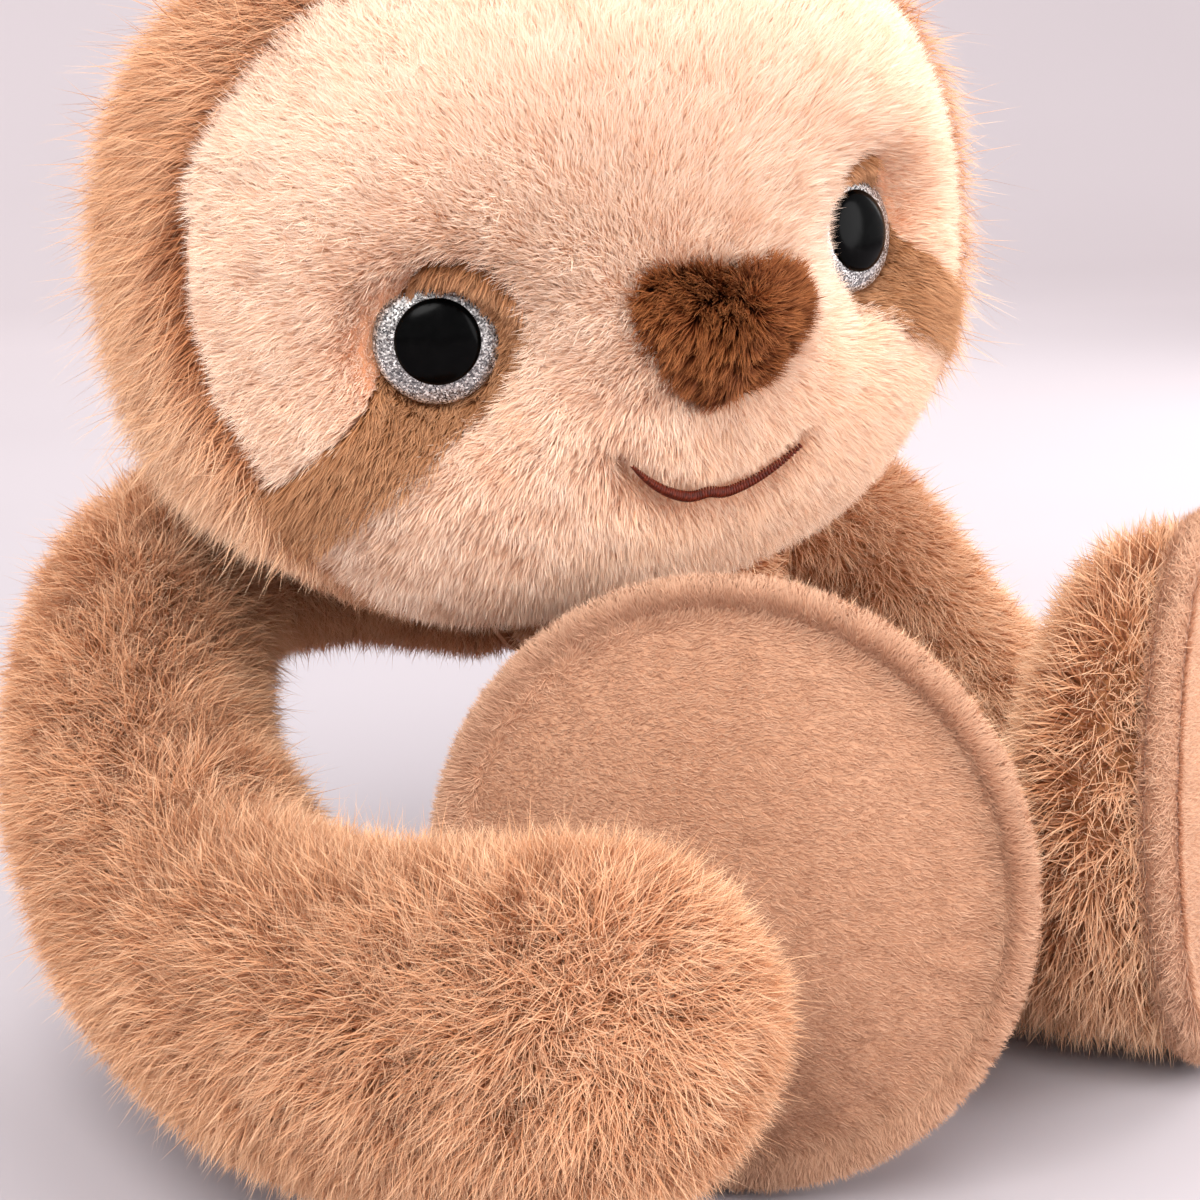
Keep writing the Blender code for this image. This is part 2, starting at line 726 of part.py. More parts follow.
def build_leg(name, hip_way, leg_way, foot_way, parts, cutters, looks):
    """A short leg that flares into a foot: its heel line stays level while the sole rises over it."""
    root = seated(belly_centre, body_radius, hip_way, leg_root_radius, leg_seat_depth)
    hip = pivot(f"hip_{name}", root, parts)
    start = leg_way.normalized()
    facing = foot_way.normalized()
    sole = start * leg_reach
    sole.z = foot_radius - leg_root_radius + heel_lift
    sections = [(place, start, radius)
                for place, radius in round_end(Vector(), -start, leg_root_radius, 4, leg_root_radius / 3)]
    bend = sole - facing * foot_length
    for run, girth in leg_run_shares:
        place = Vector().lerp(bend, run).lerp(bend.lerp(sole, run), run)
        place.z = sole.z * girth
        radius = leg_root_radius + (foot_radius - leg_root_radius) * girth
        sections.append((place, start.lerp(facing, run).normalized(), radius))
    cover = loft(f"leg_{name}_cover", sections, parts, looks["fur"], round_steps)
    finish_limb(cover, f"leg_{name}_filling", hip, parts, looks)
    pad = sole_pad(f"foot_sole_{name}", parts, looks)
    pad.rotation_euler = facing.to_track_quat("Z", "Y").to_euler()
    hang(pad, hip, sole)
    welt_points = circle(sole + facing * seam_gap, facing, foot_radius + welt_radius + seam_gap, 36)
    welt = ring(f"sole_welt_{name}", welt_points, parts, looks["velour"])
    welt.data.bevel_depth = welt_radius
    hang(welt, hip)
    seam_ring(f"hip_seam_{name}", belly_centre, body_radius, root, leg_root_radius, parts, looks["seam"])
    return as_cutter(ball(f"leg_socket_{name}", root, leg_root_radius + seat_gap, cutters))


def main():
    clear_scene()
    parts = new_collection("plush_sloth")
    cutters = new_collection("cutters")
    cutters.hide_render = True
    looks = {
        "fur": material("tan_fur", (0.56, 0.33, 0.17), 0.95),
        "face": material("cream_plush", (0.86, 0.66, 0.50), 0.95),
        "patch": material("brown_plush", (0.38, 0.22, 0.12), 0.95),
        "nose": material("dark_plush", (0.13, 0.05, 0.02), 0.95),
        "thread": material("smile_thread", (0.12, 0.02, 0.01), 0.6),
        "seam": material("seam_thread", (0.45, 0.27, 0.15), 0.8),
        "velour": material("peach_velour", (0.72, 0.42, 0.25), 0.9),
        "glitter": material("silver_glitter", (0.62, 0.60, 0.58), 0.3, 0.8),
        "pupil": material("black_gloss", (0.004, 0.004, 0.004), 0.05),
        "washer": material("white_plastic", (0.8, 0.8, 0.78), 0.5),
        "filling": material("white_stuffing", (0.85, 0.85, 0.83), 1.0),
        "pellets": material("pellet_cloth", (0.75, 0.75, 0.72), 0.9),
    }
    build_head(parts, cutters, looks)
    sockets = [
        build_arm("right", right_arm_shares, right_shoulder_way, parts, cutters, looks),
        build_arm("left", left_arm_shares, left_shoulder_way, parts, cutters, looks),
        build_leg("right", right_hip_way, right_leg_way, right_foot_way, parts, cutters, looks),
        build_leg("left", left_hip_way, left_leg_way, left_foot_way, parts, cutters, looks),
    ]
    build_body(parts, cutters, looks, sockets)


main()
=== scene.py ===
# %% [markdown]
# # A plush sloth, dressed in its pile
#
# The toy is a set of sewn covers over stuffing: a big round head with a cream face, brown eye
# patches and glitter eyes, two long arms, a small body and two flat-soled feet. A solid model
# already fixes every size and place. This script gives that model the looks of the real thing,
# and most of the work is pile: about a million short, tapered blades that follow the cloth.
#
# The first cell loads the solid model as a fixed frame and keeps the size of its box.

import json
import math

import bmesh
import bpy
import numpy as np
from mathutils import Matrix, Vector


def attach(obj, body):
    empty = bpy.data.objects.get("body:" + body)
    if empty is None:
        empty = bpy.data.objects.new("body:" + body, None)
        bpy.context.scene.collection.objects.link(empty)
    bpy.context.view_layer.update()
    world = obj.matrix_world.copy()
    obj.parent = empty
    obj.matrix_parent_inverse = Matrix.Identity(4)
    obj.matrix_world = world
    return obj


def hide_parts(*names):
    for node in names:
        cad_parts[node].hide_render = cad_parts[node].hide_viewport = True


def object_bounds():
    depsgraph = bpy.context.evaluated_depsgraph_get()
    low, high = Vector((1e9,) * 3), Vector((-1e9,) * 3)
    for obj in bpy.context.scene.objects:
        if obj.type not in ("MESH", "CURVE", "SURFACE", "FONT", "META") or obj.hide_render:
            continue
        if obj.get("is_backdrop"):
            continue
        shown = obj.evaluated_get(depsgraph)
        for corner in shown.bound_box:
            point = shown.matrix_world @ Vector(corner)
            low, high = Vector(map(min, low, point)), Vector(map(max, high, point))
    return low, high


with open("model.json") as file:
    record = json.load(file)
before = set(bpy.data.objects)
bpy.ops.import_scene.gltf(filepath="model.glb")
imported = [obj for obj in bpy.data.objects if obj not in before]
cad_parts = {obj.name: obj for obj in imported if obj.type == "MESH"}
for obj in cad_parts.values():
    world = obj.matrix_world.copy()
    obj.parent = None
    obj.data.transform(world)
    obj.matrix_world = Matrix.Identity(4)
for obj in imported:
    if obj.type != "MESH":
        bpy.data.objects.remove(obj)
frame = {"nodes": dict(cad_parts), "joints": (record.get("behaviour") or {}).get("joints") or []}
cad_low, cad_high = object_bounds()
mm = 0.001
print("solid model's box in mm:", [round(side / mm, 1) for side in cad_high - cad_low])

# %% [markdown]
# ## Writing node trees in plain Python
#
# A shader or a Geometry Nodes tree can be drawn by hand, but a script is easier to read when a sum
# looks like a sum. `Wire` wraps a socket, so that `1 - wire * 0.5` adds the Math nodes it needs.
# `Nodes.add` makes every other node: settings first, then the values or links of its sockets.

# %% A wire that knows arithmetic
def arithmetic(operation):
    """The two methods behind one sign: wire - 1, and its reflected form, 1 - wire."""
    return (lambda self, other: self.maths(operation, other),
            lambda self, other: self.maths(operation, other, swapped=True))


class Wire:
    __add__, __radd__ = arithmetic("ADD")
    __sub__, __rsub__ = arithmetic("SUBTRACT")
    __mul__, __rmul__ = arithmetic("MULTIPLY")
    __truediv__, __rtruediv__ = arithmetic("DIVIDE")

    def __init__(self, net, socket):
        self.net = net
        self.socket = socket

    def maths(self, operation, other=None, swapped=False, clamp=False):
        pair = [self] if other is None else [other, self] if swapped else [self, other]
        return self.net.add("ShaderNodeMath", {"operation": operation, "use_clamp": clamp},
                            dict(enumerate(pair)))

    def clamped(self):
        return self.maths("ADD", 0.0, clamp=True)

    def output(self, name):
        return Wire(self.net, self.socket.node.outputs[name])


class Nodes:
    def __init__(self, tree):
        self.tree = tree

    def add(self, kind, settings=None, values=None, out=0):
        made = self.tree.nodes.new(kind)
        for name, value in (settings or {}).items():
            if name == "stops":
                ramp = made.color_ramp
                while len(ramp.elements) < len(value):
                    ramp.elements.new(0.5)
                for element, (place, colour) in zip(ramp.elements, value):
                    element.position = place
                    element.color = (*colour, 1.0)
            else:
                setattr(made, name, value)
        for name, value in (values or {}).items():
            if isinstance(value, Wire):
                self.tree.links.new(value.socket, made.inputs[name])
            else:
                made.inputs[name].default_value = value
        return Wire(self, made.outputs[out]) if made.outputs else made

    def vector(self, operation, *parts):
        return self.add("ShaderNodeVectorMath", {"operation": operation}, dict(enumerate(parts)))

    def scaled(self, vector, amount):
        return self.add("ShaderNodeVectorMath", {"operation": "SCALE"}, {0: vector, "Scale": amount})

    def dot(self, one, other):
        return self.vector("DOT_PRODUCT", one, other).output("Value")

    def mixed(self, share, one, other):
        return self.add("ShaderNodeMix", {"data_type": "RGBA"}, {0: share, 6: one, 7: other}, 2)

    def ramp(self, share, *stops):
        return self.add("ShaderNodeValToRGB", {"stops": stops}, {0: share})

    def attribute(self, name):
        return self.add("ShaderNodeAttribute", {"attribute_name": name})

    def place(self):
        return self.add("ShaderNodeTexCoord", out="Object")

    def noise(self, place, scale, detail=2.0, out=0):
        return self.add("ShaderNodeTexNoise", values={"Vector": place, "Scale": scale, "Detail": detail},
                        out=out)

    def bump(self, strength, distance, height):
        return self.add("ShaderNodeBump", values={"Strength": strength, "Distance": distance,
                                                  "Height": height})

    def read(self, name, kind="FLOAT_VECTOR"):
        return self.add("GeometryNodeInputNamedAttribute", {"data_type": kind}, {"Name": name})

    def store(self, geometry, name, value, kind="FLOAT_VECTOR", domain="POINT"):
        return self.add("GeometryNodeStoreNamedAttribute", {"data_type": kind, "domain": domain},
                        {"Geometry": geometry, "Name": name, "Value": value})


def linear(*colour):
    """A colour as it is read from a picture, 0 to 255, as the linear values that a shader takes."""
    return tuple(round((part / 255 / 12.92 if part < 10.3 else ((part / 255 + 0.055) / 1.055) ** 2.4), 5)
                 for part in colour)


def finish_material(name, build, plain):
    """A Principled material: build(nodes, shader) links what varies, and plain sets what doesn't."""
    made = bpy.data.materials.new(name)
    made.use_nodes = True
    nodes = Nodes(made.node_tree)
    shader = made.node_tree.nodes["Principled BSDF"]
    for socket, value in plain.items():
        shader.inputs[socket].default_value = value
    for socket, wire in build(nodes).items():
        made.node_tree.links.new(wire.socket, shader.inputs[socket])
    return made


# %% [markdown]
# ## Pile colours
#
# Real pile is dark at its roots, where it shades itself, and pale at its tips. Each blade carries
# two numbers: how far a point is along it, and its own tone. Two colour ramps, one for dull blades
# and one for bright ones, turn those numbers into a colour, so no two clumps look alike.

# %% Pile and skin finishes
def pile_finish(name, dull, bright, sheen, roughness=0.85):
    """Pile between two ramps, each given as stops of a place and a colour as read from a picture."""
    dull, bright = ([(place, linear(*colour)) for place, *colour in stops] for stops in (dull, bright))

    def build(nodes):
        along = nodes.attribute("along").output("Fac")
        tone = nodes.attribute("tone").output("Fac")
        return {"Base Color": nodes.mixed(tone, nodes.ramp(along, *dull), nodes.ramp(along, *bright))}

    return finish_material(name, build, {
        "Base Color": (*bright[-1][1], 1), "Roughness": roughness, "Sheen Weight": sheen,
        "Sheen Roughness": 0.5, "Sheen Tint": (*bright[-1][1], 1), "Specular IOR Level": 0.15})


def skin_finish(name, low, high):
    """The knitted backing that carries the pile: a dull, mottled cloth with a fine grain."""
    def build(nodes):
        place = nodes.place()
        blotch = nodes.noise(place, 90.0, 3.0)
        grain = nodes.noise(place, 1400.0)
        return {"Base Color": nodes.ramp(blotch, (0.3, low), (0.75, high)),
                "Normal": nodes.bump(0.4, 0.3 * mm, grain)}

    return finish_material(name, build, {"Base Color": (*high, 1), "Roughness": 0.95,
                                         "Specular IOR Level": 0.1})


tan_pile = pile_finish(
    "tan_pile",
    ((0.0, 166, 102, 62), (0.4, 192, 130, 88), (0.75, 222, 168, 128), (1.0, 238, 190, 152)),
    ((0.0, 184, 118, 76), (0.35, 214, 156, 114), (0.7, 242, 198, 160), (1.0, 255, 224, 192)), 0.45)
cream_pile = pile_finish(
    "cream_pile",
    ((0.0, 230, 158, 112), (0.4, 244, 188, 148), (0.75, 252, 212, 178), (1.0, 255, 222, 192)),
    ((0.0, 246, 192, 154), (0.35, 254, 216, 184), (0.7, 255, 230, 208), (1.0, 255, 238, 222)), 0.5)
patch_pile = pile_finish(
    "patch_pile", ((0.0, 98, 54, 26), (0.5, 144, 92, 56), (1.0, 182, 130, 92)),
    ((0.0, 122, 74, 40), (0.5, 172, 120, 80), (1.0, 214, 164, 124)), 0.2)
nose_pile = pile_finish(
    "nose_pile", ((0.0, 30, 8, 2), (0.5, 84, 36, 12), (1.0, 140, 78, 40)),
    ((0.0, 52, 18, 6), (0.5, 116, 56, 22), (1.0, 186, 120, 72)), 0.05, 0.6)
velour_pile = pile_finish(
    "velour_pile", ((0.0, 178, 128, 98), (0.5, 198, 152, 122), (1.0, 206, 160, 130)),
    ((0.0, 192, 142, 112), (0.5, 210, 166, 136), (1.0, 224, 184, 156)), 0.25)
tan_skin = skin_finish("tan_skin", linear(164, 110, 70), linear(196, 140, 98))
cream_skin = skin_finish("cream_skin", linear(226, 170, 130), linear(238, 190, 154))
patch_skin = skin_finish("patch_skin", linear(92, 54, 30), linear(122, 78, 46))
nose_skin = skin_finish("nose_skin", linear(44, 16, 5), linear(66, 28, 10))
print("materials so far, with the solid model's own:", len(bpy.data.materials))

# %% [markdown]
# ## The forms under the pile
#
# The head is a boxy ellipsoid, which is what a stuffed ball of four panels becomes, with a dimple at
# each eye where the eye's shank draws the cloth in. The limbs are round tubes that swell towards
# the paw. Both follow the sizes of the solid model, so a point on them is a point on the toy.

# %% The head's form
def unit(vectors):
    return vectors / np.linalg.norm(vectors, axis=-1, keepdims=True)


def turn_about(axis, degrees):
    return np.array(Matrix.Rotation(math.radians(degrees), 3, axis))


head_halves = np.array((66.0, 55.0, 56.0)) * mm
head_boxiness = 2.45
head_turn = turn_about("Z", 9.0) @ turn_about("X", 13.0) @ turn_about("Y", -11.5)
neck = np.array((-8.0, 10.0, 74.0)) * mm
eye_place, eye_shift = np.array((33.4, 7.2)) * mm, 1.2 * mm
eye_sink = 12.0 * mm
smile_tilt = math.radians(-11.0)
smile_drop, smile_reach, smile_sag = 14.3 * mm, 14.5 * mm, 6.8 * mm


def from_eye(x, z):
    """How far a place on the face is from the nearer eye's middle. Both eyes sit a little to one side."""
    return np.hypot(np.abs(x + eye_shift) - eye_place[0], z - eye_place[1])


def muzzle_rise(x, z):
    """How far the muzzle swells out under the nose and the smile."""
    return 4.2 * mm * np.exp(-(x / (23 * mm)) ** 2 - ((z - 1 * mm) / (17 * mm)) ** 2)


def by_smile_line(x, z):
    """How far a place on the face is along the smile, and how far above the smile's line."""
    along = x * math.cos(smile_tilt) + (z + smile_drop) * math.sin(smile_tilt)
    up = (z + smile_drop) * math.cos(smile_tilt) - x * math.sin(smile_tilt)
    return along, up + smile_sag * (1 - (along / smile_reach) ** 2)


def head_dents(places):
    """How far the face is drawn in at its eyes and its smile, less the swelling of its muzzle."""
    x, z = places[:, 0], places[:, 2]
    front = places[:, 1] < 0
    eyes = eye_sink * np.exp(-(from_eye(x, z) / (12.0 * mm)) ** 2)
    cleft = 1.6 * mm * np.exp(-(x / (1.6 * mm)) ** 2) * np.exp(-((z + 9.5 * mm) / (4.0 * mm)) ** 2)
    across, above = by_smile_line(x, z)
    smile = 1.8 * mm * np.exp(-(above / (2.2 * mm)) ** 2) * (np.abs(across) < 16 * mm)
    return front * (eyes + cleft + smile - muzzle_rise(x, z))


def head_points(ways, grow=0.0):
    """Points of the head's surface in its own axes, along unit vectors from its centre."""
    halves = head_halves + grow
    reach = np.sum((np.abs(ways) / halves) ** head_boxiness, axis=1) ** (-1 / head_boxiness)
    places = ways * reach[:, None]
    places[:, 1] += head_dents(places)
    return places


stand = unit(np.array((-0.243, -0.049, 0.969)))
neck_radius, head_overlap = 23.0, 13.2
stand_reach = np.linalg.norm(head_points(-stand[None])[0]) + (neck_radius - head_overlap) * mm
head_centre = neck + head_turn @ (stand * stand_reach)


def to_world(places):
    return places @ head_turn.T + head_centre


def head_front(x, z):
    """The front of the face at a place on it, in the head's own axes, without the dents."""
    rest = 1 - np.abs(x / head_halves[0]) ** head_boxiness - np.abs(z / head_halves[2]) ** head_boxiness
    return -head_halves[1] * np.clip(rest, 0, None) ** (1 / head_boxiness)


def muzzle_front(x, z):
    return head_front(x, z) - muzzle_rise(x, z)


print("head's centre in mm:", np.round(head_centre / mm, 1))

# %% [markdown]
# The panels' outlines are smooth closed curves through a few points. A test that counts how often
# a line to the right crosses an outline says which panel a place on the face belongs to.

# %% Panel outlines
def smooth_run(points, steps, closed=False):
    """A Catmull-Rom curve through the points, as many steps between each two."""
    points = np.asarray(points, float)
    if closed:
        ends = np.concatenate([points[-1:], points, points[:2]])
    else:
        ends = np.concatenate([2 * points[:1] - points[1:2], points, 2 * points[-1:] - points[-2:-1]])
    share = (np.arange(steps) / steps)[:, None]
    run = []
    for before, start, end, after in zip(ends, ends[1:], ends[2:], ends[3:]):
        run.append(0.5 * (2 * start + (end - before) * share
                          + (2 * before - 5 * start + 4 * end - after) * share ** 2
                          + (3 * start - before - 3 * end + after) * share ** 3))
    if not closed:
        run.append(points[-1:])
    return np.concatenate(run)


def both_sides(half):
    return np.array([*half, *[(-x, z) for x, z in half[::-1][1:-1]]])


def inside(outline, x, z):
    crossings = np.zeros(len(x), int)
    for (x0, z0), (x1, z1) in zip(outline, np.roll(outline, -1, axis=0)):
        if z0 != z1:
            crossed = ((z0 > z) != (z1 > z)) & (x < (x1 - x0) * (z - z0) / (z1 - z0) + x0)
            crossings += crossed
    return crossings % 2 == 1


face_shares = ((0.0, -0.732), (0.12, -0.735), (0.333, -0.732), (0.545, -0.696), (0.727, -0.562),
               (0.841, -0.375), (0.886, -0.25), (0.909, -0.16), (0.955, 0.036), (0.955, 0.25),
               (0.89, 0.56), (0.76, 0.77), (0.56, 0.89), (0.30, 0.945), (0.0, 0.955))
patch_shares = ((0.53, 0.355), (0.45, 0.345), (0.375, 0.28), (0.345, 0.18), (0.36, 0.07), (0.42, -0.03),
                (0.53, -0.1), (0.62, -0.17), (0.70, -0.235), (0.755, -0.31), (0.80, -0.4), (0.86, -0.47),
                (0.98, -0.36), (0.93, -0.26), (0.84, -0.21), (0.79, -0.135), (0.73, -0.06),
                (0.675, 0.01), (0.63, 0.08), (0.6, 0.17), (0.575, 0.27))
nose_shares = ((0.0, -1.0), (0.33, -0.75), (0.72, -0.15), (0.97, 0.4), (0.93, 0.82), (0.6, 1.0),
               (0.22, 0.98), (0.0, 0.95))
face_size = head_halves[[0, 2]]
face_outline = smooth_run(both_sides(face_shares) * face_size, 6, True) * (0.965, 0.985)
face_outline[:, 0] *= np.where(face_outline[:, 0] > 0, 0.905, 1.0)
patch_outline = smooth_run(np.array(patch_shares) * face_size, 6, True)
nose_tilt = math.radians(-12.0)
nose_outline = smooth_run(both_sides(nose_shares) * (12.3 * mm, 8.4 * mm), 6, True)
nose_outline = nose_outline @ np.array(((math.cos(nose_tilt), math.sin(nose_tilt)),
                                        (-math.sin(nose_tilt), math.cos(nose_tilt))))
nose_centre = np.array((0.8, 5.0)) * mm
nose_outline += nose_centre
print("outline points:", len(face_outline), len(patch_outline), len(nose_outline))

# %% [markdown]
# ## A guide for the pile
#
# Pile needs to know four things wherever it grows: which way it is combed, how long it is, how
# thick it grows and how pale it is. Its paleness is partly the cloth's own tint and partly painted
# light and shade. A guide is a plain mesh of the cloth that carries those as attributes, which
# Geometry Nodes can read. Guides are scaffolding and are thrown away once the pile has grown.

# %% Meshes and guides
def new_mesh(name, points, faces, values=None):
    mesh = bpy.data.meshes.new(name)
    mesh.from_pydata(np.asarray(points, float).tolist(), [], [tuple(face) for face in faces])
    for key, value in (values or {}).items():
        kind = "FLOAT_VECTOR" if np.ndim(value) == 2 else "FLOAT"
        field = "vector" if kind == "FLOAT_VECTOR" else "value"
        mesh.attributes.new(key, kind, "POINT").data.foreach_set(field, np.ravel(value).astype(np.float32))
    mesh.shade_smooth()
    made = bpy.data.objects.new(name, mesh)
    bpy.context.scene.collection.objects.link(made)
    return made


def grid_faces(rows, columns, wrap=True):
    """Quads of a grid of points, whose columns close on themselves when it wraps."""
    row, column = np.meshgrid(np.arange(rows - 1), np.arange(columns if wrap else columns - 1),
                              indexing="ij")
    after = (column + 1) % columns
    corners = (row * columns + column, row * columns + after, (row + 1) * columns + after,
               (row + 1) * columns + column)
    return np.stack(corners, -1).reshape(-1, 4)


def end_caps(rows, sides):
    """The two faces that close a grid which wraps."""
    return [tuple(range(sides)), tuple(range((rows - 1) * sides, rows * sides))]


def cube_ways(cells):
    """Unit vectors and quads of a cube blown up into a ball, which has no poles."""
    side = np.tan(np.linspace(-math.pi / 4, math.pi / 4, cells + 1))
    ways, faces = [], []
    for axis in range(3):
        for sign in (-1, 1):
            a, b = np.meshgrid(side, side, indexing="ij")
            wall = np.full_like(a, sign)
            spot = [None] * 3
            spot[axis], spot[(axis + 1) % 3], spot[(axis + 2) % 3] = wall, a, b
            start = sum(len(part) for part in ways)
            ways.append(unit(np.stack(spot, -1).reshape(-1, 3)))
            faces.append(grid_faces(cells + 1, cells + 1, False)[:, ::-sign] + start)
    return np.concatenate(ways), np.concatenate(faces)


def cleaned(piece, floor=None):
    """Merges doubles and points every face outwards."""
    bm = bmesh.new()
    bm.from_mesh(piece.data)
    bmesh.ops.remove_doubles(bm, verts=bm.verts, dist=0.02 * mm)
    if floor is not None:
        for vertex in bm.verts:
            vertex.co.z = max(vertex.co.z, floor)
    bmesh.ops.recalc_face_normals(bm, faces=bm.faces)
    bm.to_mesh(piece.data)
    bm.free()
    return piece


def dressed(piece, surface, body, slot, replaced=()):
    """The last steps of every piece: its finish, its body and hiding the solid parts it stands for. The slot is
    not used.
    """
    piece.data.materials.clear()
    piece.data.materials.append(surface)
    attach(piece, body)
    if replaced:
        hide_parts(*replaced)
    return piece


# %% [markdown]
# ## The blade and the tree that plants it
#
# One blade is a narrow strip that comes to a point: three triangles where it has to bend, and a
# single one where it is so short or so fine that a bend wouldn't show. The tree scatters points
# on a guide, works out for each which way its blade leans, and puts a blade on every point. Then
# each corner is placed by a formula: it starts at the root, leans one way low down and another way
# near the tip, and is pulled towards the middle of its clump. That is cheaper than hair curves, and
# the result is an ordinary mesh that any program can show.

# %% The pile's node tree
def blade(segments):
    rows = [(share, side) for share in np.linspace(0, 1, segments + 1)[:-1] for side in (-0.5, 0.5)]
    rows.append((1.0, 0.0))
    faces = [(2 * row, 2 * row + 1, 2 * row + 3, 2 * row + 2) for row in range(segments - 1)]
    faces.append((2 * segments - 2, 2 * segments - 1, 2 * segments))
    points = [(side, 0.0, share) for share, side in rows]
    return new_mesh(f"blade_{segments}", points, faces,
                    {"along": np.array([share for share, _ in rows]),
                     "side": np.array([side for _, side in rows])})


fine_blade, bent_blade = blade(1), blade(2)

pile_parts = {"Guide": "Geometry", "Blade": "Object", "Finish": "Material", "Seed": "Int"}
pile_sizes = {
    "Density": 1e6, "Length": 6 * mm, "Length Spread": 0.3, "Width": 0.25 * mm, "Stand": 0.7, "Bend": 0.3,
    "Wander": 0.4, "Clump Size": 3 * mm, "Clump Pull": 0.6, "Curl": 0.6 * mm, "Droop": 0.0,
    "Tone Patch": 8 * mm, "Roll": 0.6, "Tone Spread": 1.0}


def pile_tree():
    tree = bpy.data.node_groups.new("sewn_pile", "GeometryNodeTree")
    for name, kind in pile_parts.items():
        tree.interface.new_socket(name, in_out="INPUT", socket_type=f"NodeSocket{kind}")
    for name, value in pile_sizes.items():
        socket = tree.interface.new_socket(name, in_out="INPUT", socket_type="NodeSocketFloat")
        socket.default_value = value
    tree.interface.new_socket("Pile", in_out="OUTPUT", socket_type="NodeSocketGeometry")
    net = Nodes(tree)
    take, read, store = net.add("NodeGroupInput").output, net.read, net.store

    def chance(low, high, seed):
        return net.add("FunctionNodeRandomValue", {"data_type": "FLOAT"},
                       {2: low, 3: high, "Seed": take("Seed") * 17 + seed}, 1)

    thickness = read("thickness", "FLOAT")
    scattered = net.add("GeometryNodeDistributePointsOnFaces", values={
        "Mesh": take("Guide"), "Density": take("Density") * thickness, "Seed": take("Seed")})
    up = scattered.output("Normal")
    points = store(scattered, "up", up)

    up = read("up")
    root = net.add("GeometryNodeInputPosition")
    stray = net.add("FunctionNodeRandomValue", {"data_type": "FLOAT_VECTOR"},
                    {0: (-1.0, -1.0, -1.0), 1: (1.0, 1.0, 1.0), "Seed": take("Seed") * 31 + 5})
    swirl = net.vector("SUBTRACT", net.noise(root, 1 / take("Tone Patch"), 1.0, "Color"), (0.5, 0.5, 0.5))
    comb = net.vector("ADD", read("comb"), net.scaled(stray, take("Wander")))
    comb = net.vector("ADD", comb, net.scaled(swirl, take("Wander") * 3))
    flat = net.vector("NORMALIZE", net.vector("SUBTRACT", comb, net.scaled(up, net.dot(comb, up))))
    length = take("Length") * read("pile_share", "FLOAT") * (1 + take("Length Spread") * chance(-1.0, 1.0, 1))
    low_rise = take("Stand") + chance(-0.18, 0.18, 2)
    high_rise = low_rise - take("Bend") + chance(-0.2, 0.2, 3)

    def leaning(rise):
        side_share = rise.maths("COSINE")
        up_share = rise.maths("SINE")
        return net.vector("ADD", net.scaled(flat, side_share), net.scaled(up, up_share))

    low_way = leaning(low_rise)
    fall = net.add("ShaderNodeCombineXYZ", values={"Z": take("Droop") * -1.0})
    clump = net.add("ShaderNodeTexVoronoi", values={"Vector": root, "Scale": 1 / take("Clump Size")})
    pulled = net.scaled(net.vector("SUBTRACT", clump.output("Position"), root), take("Clump Pull") * 2)
    high_way = net.vector("ADD", net.scaled(net.vector("ADD", leaning(high_rise), fall), length), pulled)
    edge = net.vector("NORMALIZE", net.vector("CROSS_PRODUCT", low_way, up))
    face = net.vector("CROSS_PRODUCT", low_way, edge)
    roll = take("Roll") * chance(-1.0, 1.0, 4)
    width_way = net.scaled(net.vector("ADD", net.scaled(edge, roll.maths("COSINE")),
                                      net.scaled(face, roll.maths("SINE"))),
                           take("Width") * chance(0.7, 1.3, 6))
    drift = net.noise(root, 1 / take("Tone Patch"))
    clump_tone = net.add("ShaderNodeSeparateXYZ", values={0: clump.output("Color")})
    spread = (drift - 0.5) * 1.5 + (clump_tone - 0.5) * 0.35 + chance(-0.33, 0.33, 7)
    # The guide's paleness shifts each blade's tone: partly the cloth's own tint, partly painted light and shade.
    tone = (spread * take("Tone Spread") + 0.5 + read("paler", "FLOAT")).clamped()

    points = store(points, "root", root)
    points = store(points, "low_way", net.scaled(low_way, length))
    points = store(points, "high_way", high_way)
    points = store(points, "width_way", width_way)
    points = store(points, "tone", tone, "FLOAT")
    source = net.add("GeometryNodeObjectInfo", {"transform_space": "ORIGINAL"},
                     {"Object": take("Blade")}).output("Geometry")
    planted = net.add("GeometryNodeInstanceOnPoints", values={"Points": points, "Instance": source})
    planted = net.add("GeometryNodeRealizeInstances", values={"Geometry": planted})

    along = read("along", "FLOAT")
    side = read("side", "FLOAT")
    half_square = along * along * 0.5
    place = net.vector("ADD", read("root"), net.scaled(read("low_way"), along - half_square))
    place = net.vector("ADD", place, net.scaled(read("high_way"), half_square))
    ripple = net.vector("SUBTRACT", net.noise(place, 520.0, 0.0, "Color"), (0.5, 0.5, 0.5))
    place = net.vector("ADD", place, net.scaled(ripple, take("Curl") * 2 * along))
    place = net.vector("ADD", place, net.scaled(read("width_way"), side * (1 - along * 0.35)))
    place = net.vector("MAXIMUM", place, (-10.0, -10.0, 0.4 * mm))
    planted = net.add("GeometryNodeSetPosition", values={"Geometry": planted, "Position": place})
    uv = net.add("ShaderNodeCombineXYZ", values={0: read("tone", "FLOAT") * 0.94 + 0.03 + side * 0.02,
                                                 1: along * 0.96 + 0.02})
    planted = store(planted, "OFBake", uv, "FLOAT2", "CORNER")
    planted = net.add("GeometryNodeSetMaterial", values={"Geometry": planted, "Material": take("Finish")})
    net.add("NodeGroupOutput", values={0: planted})
    return tree


sewn_pile = pile_tree()


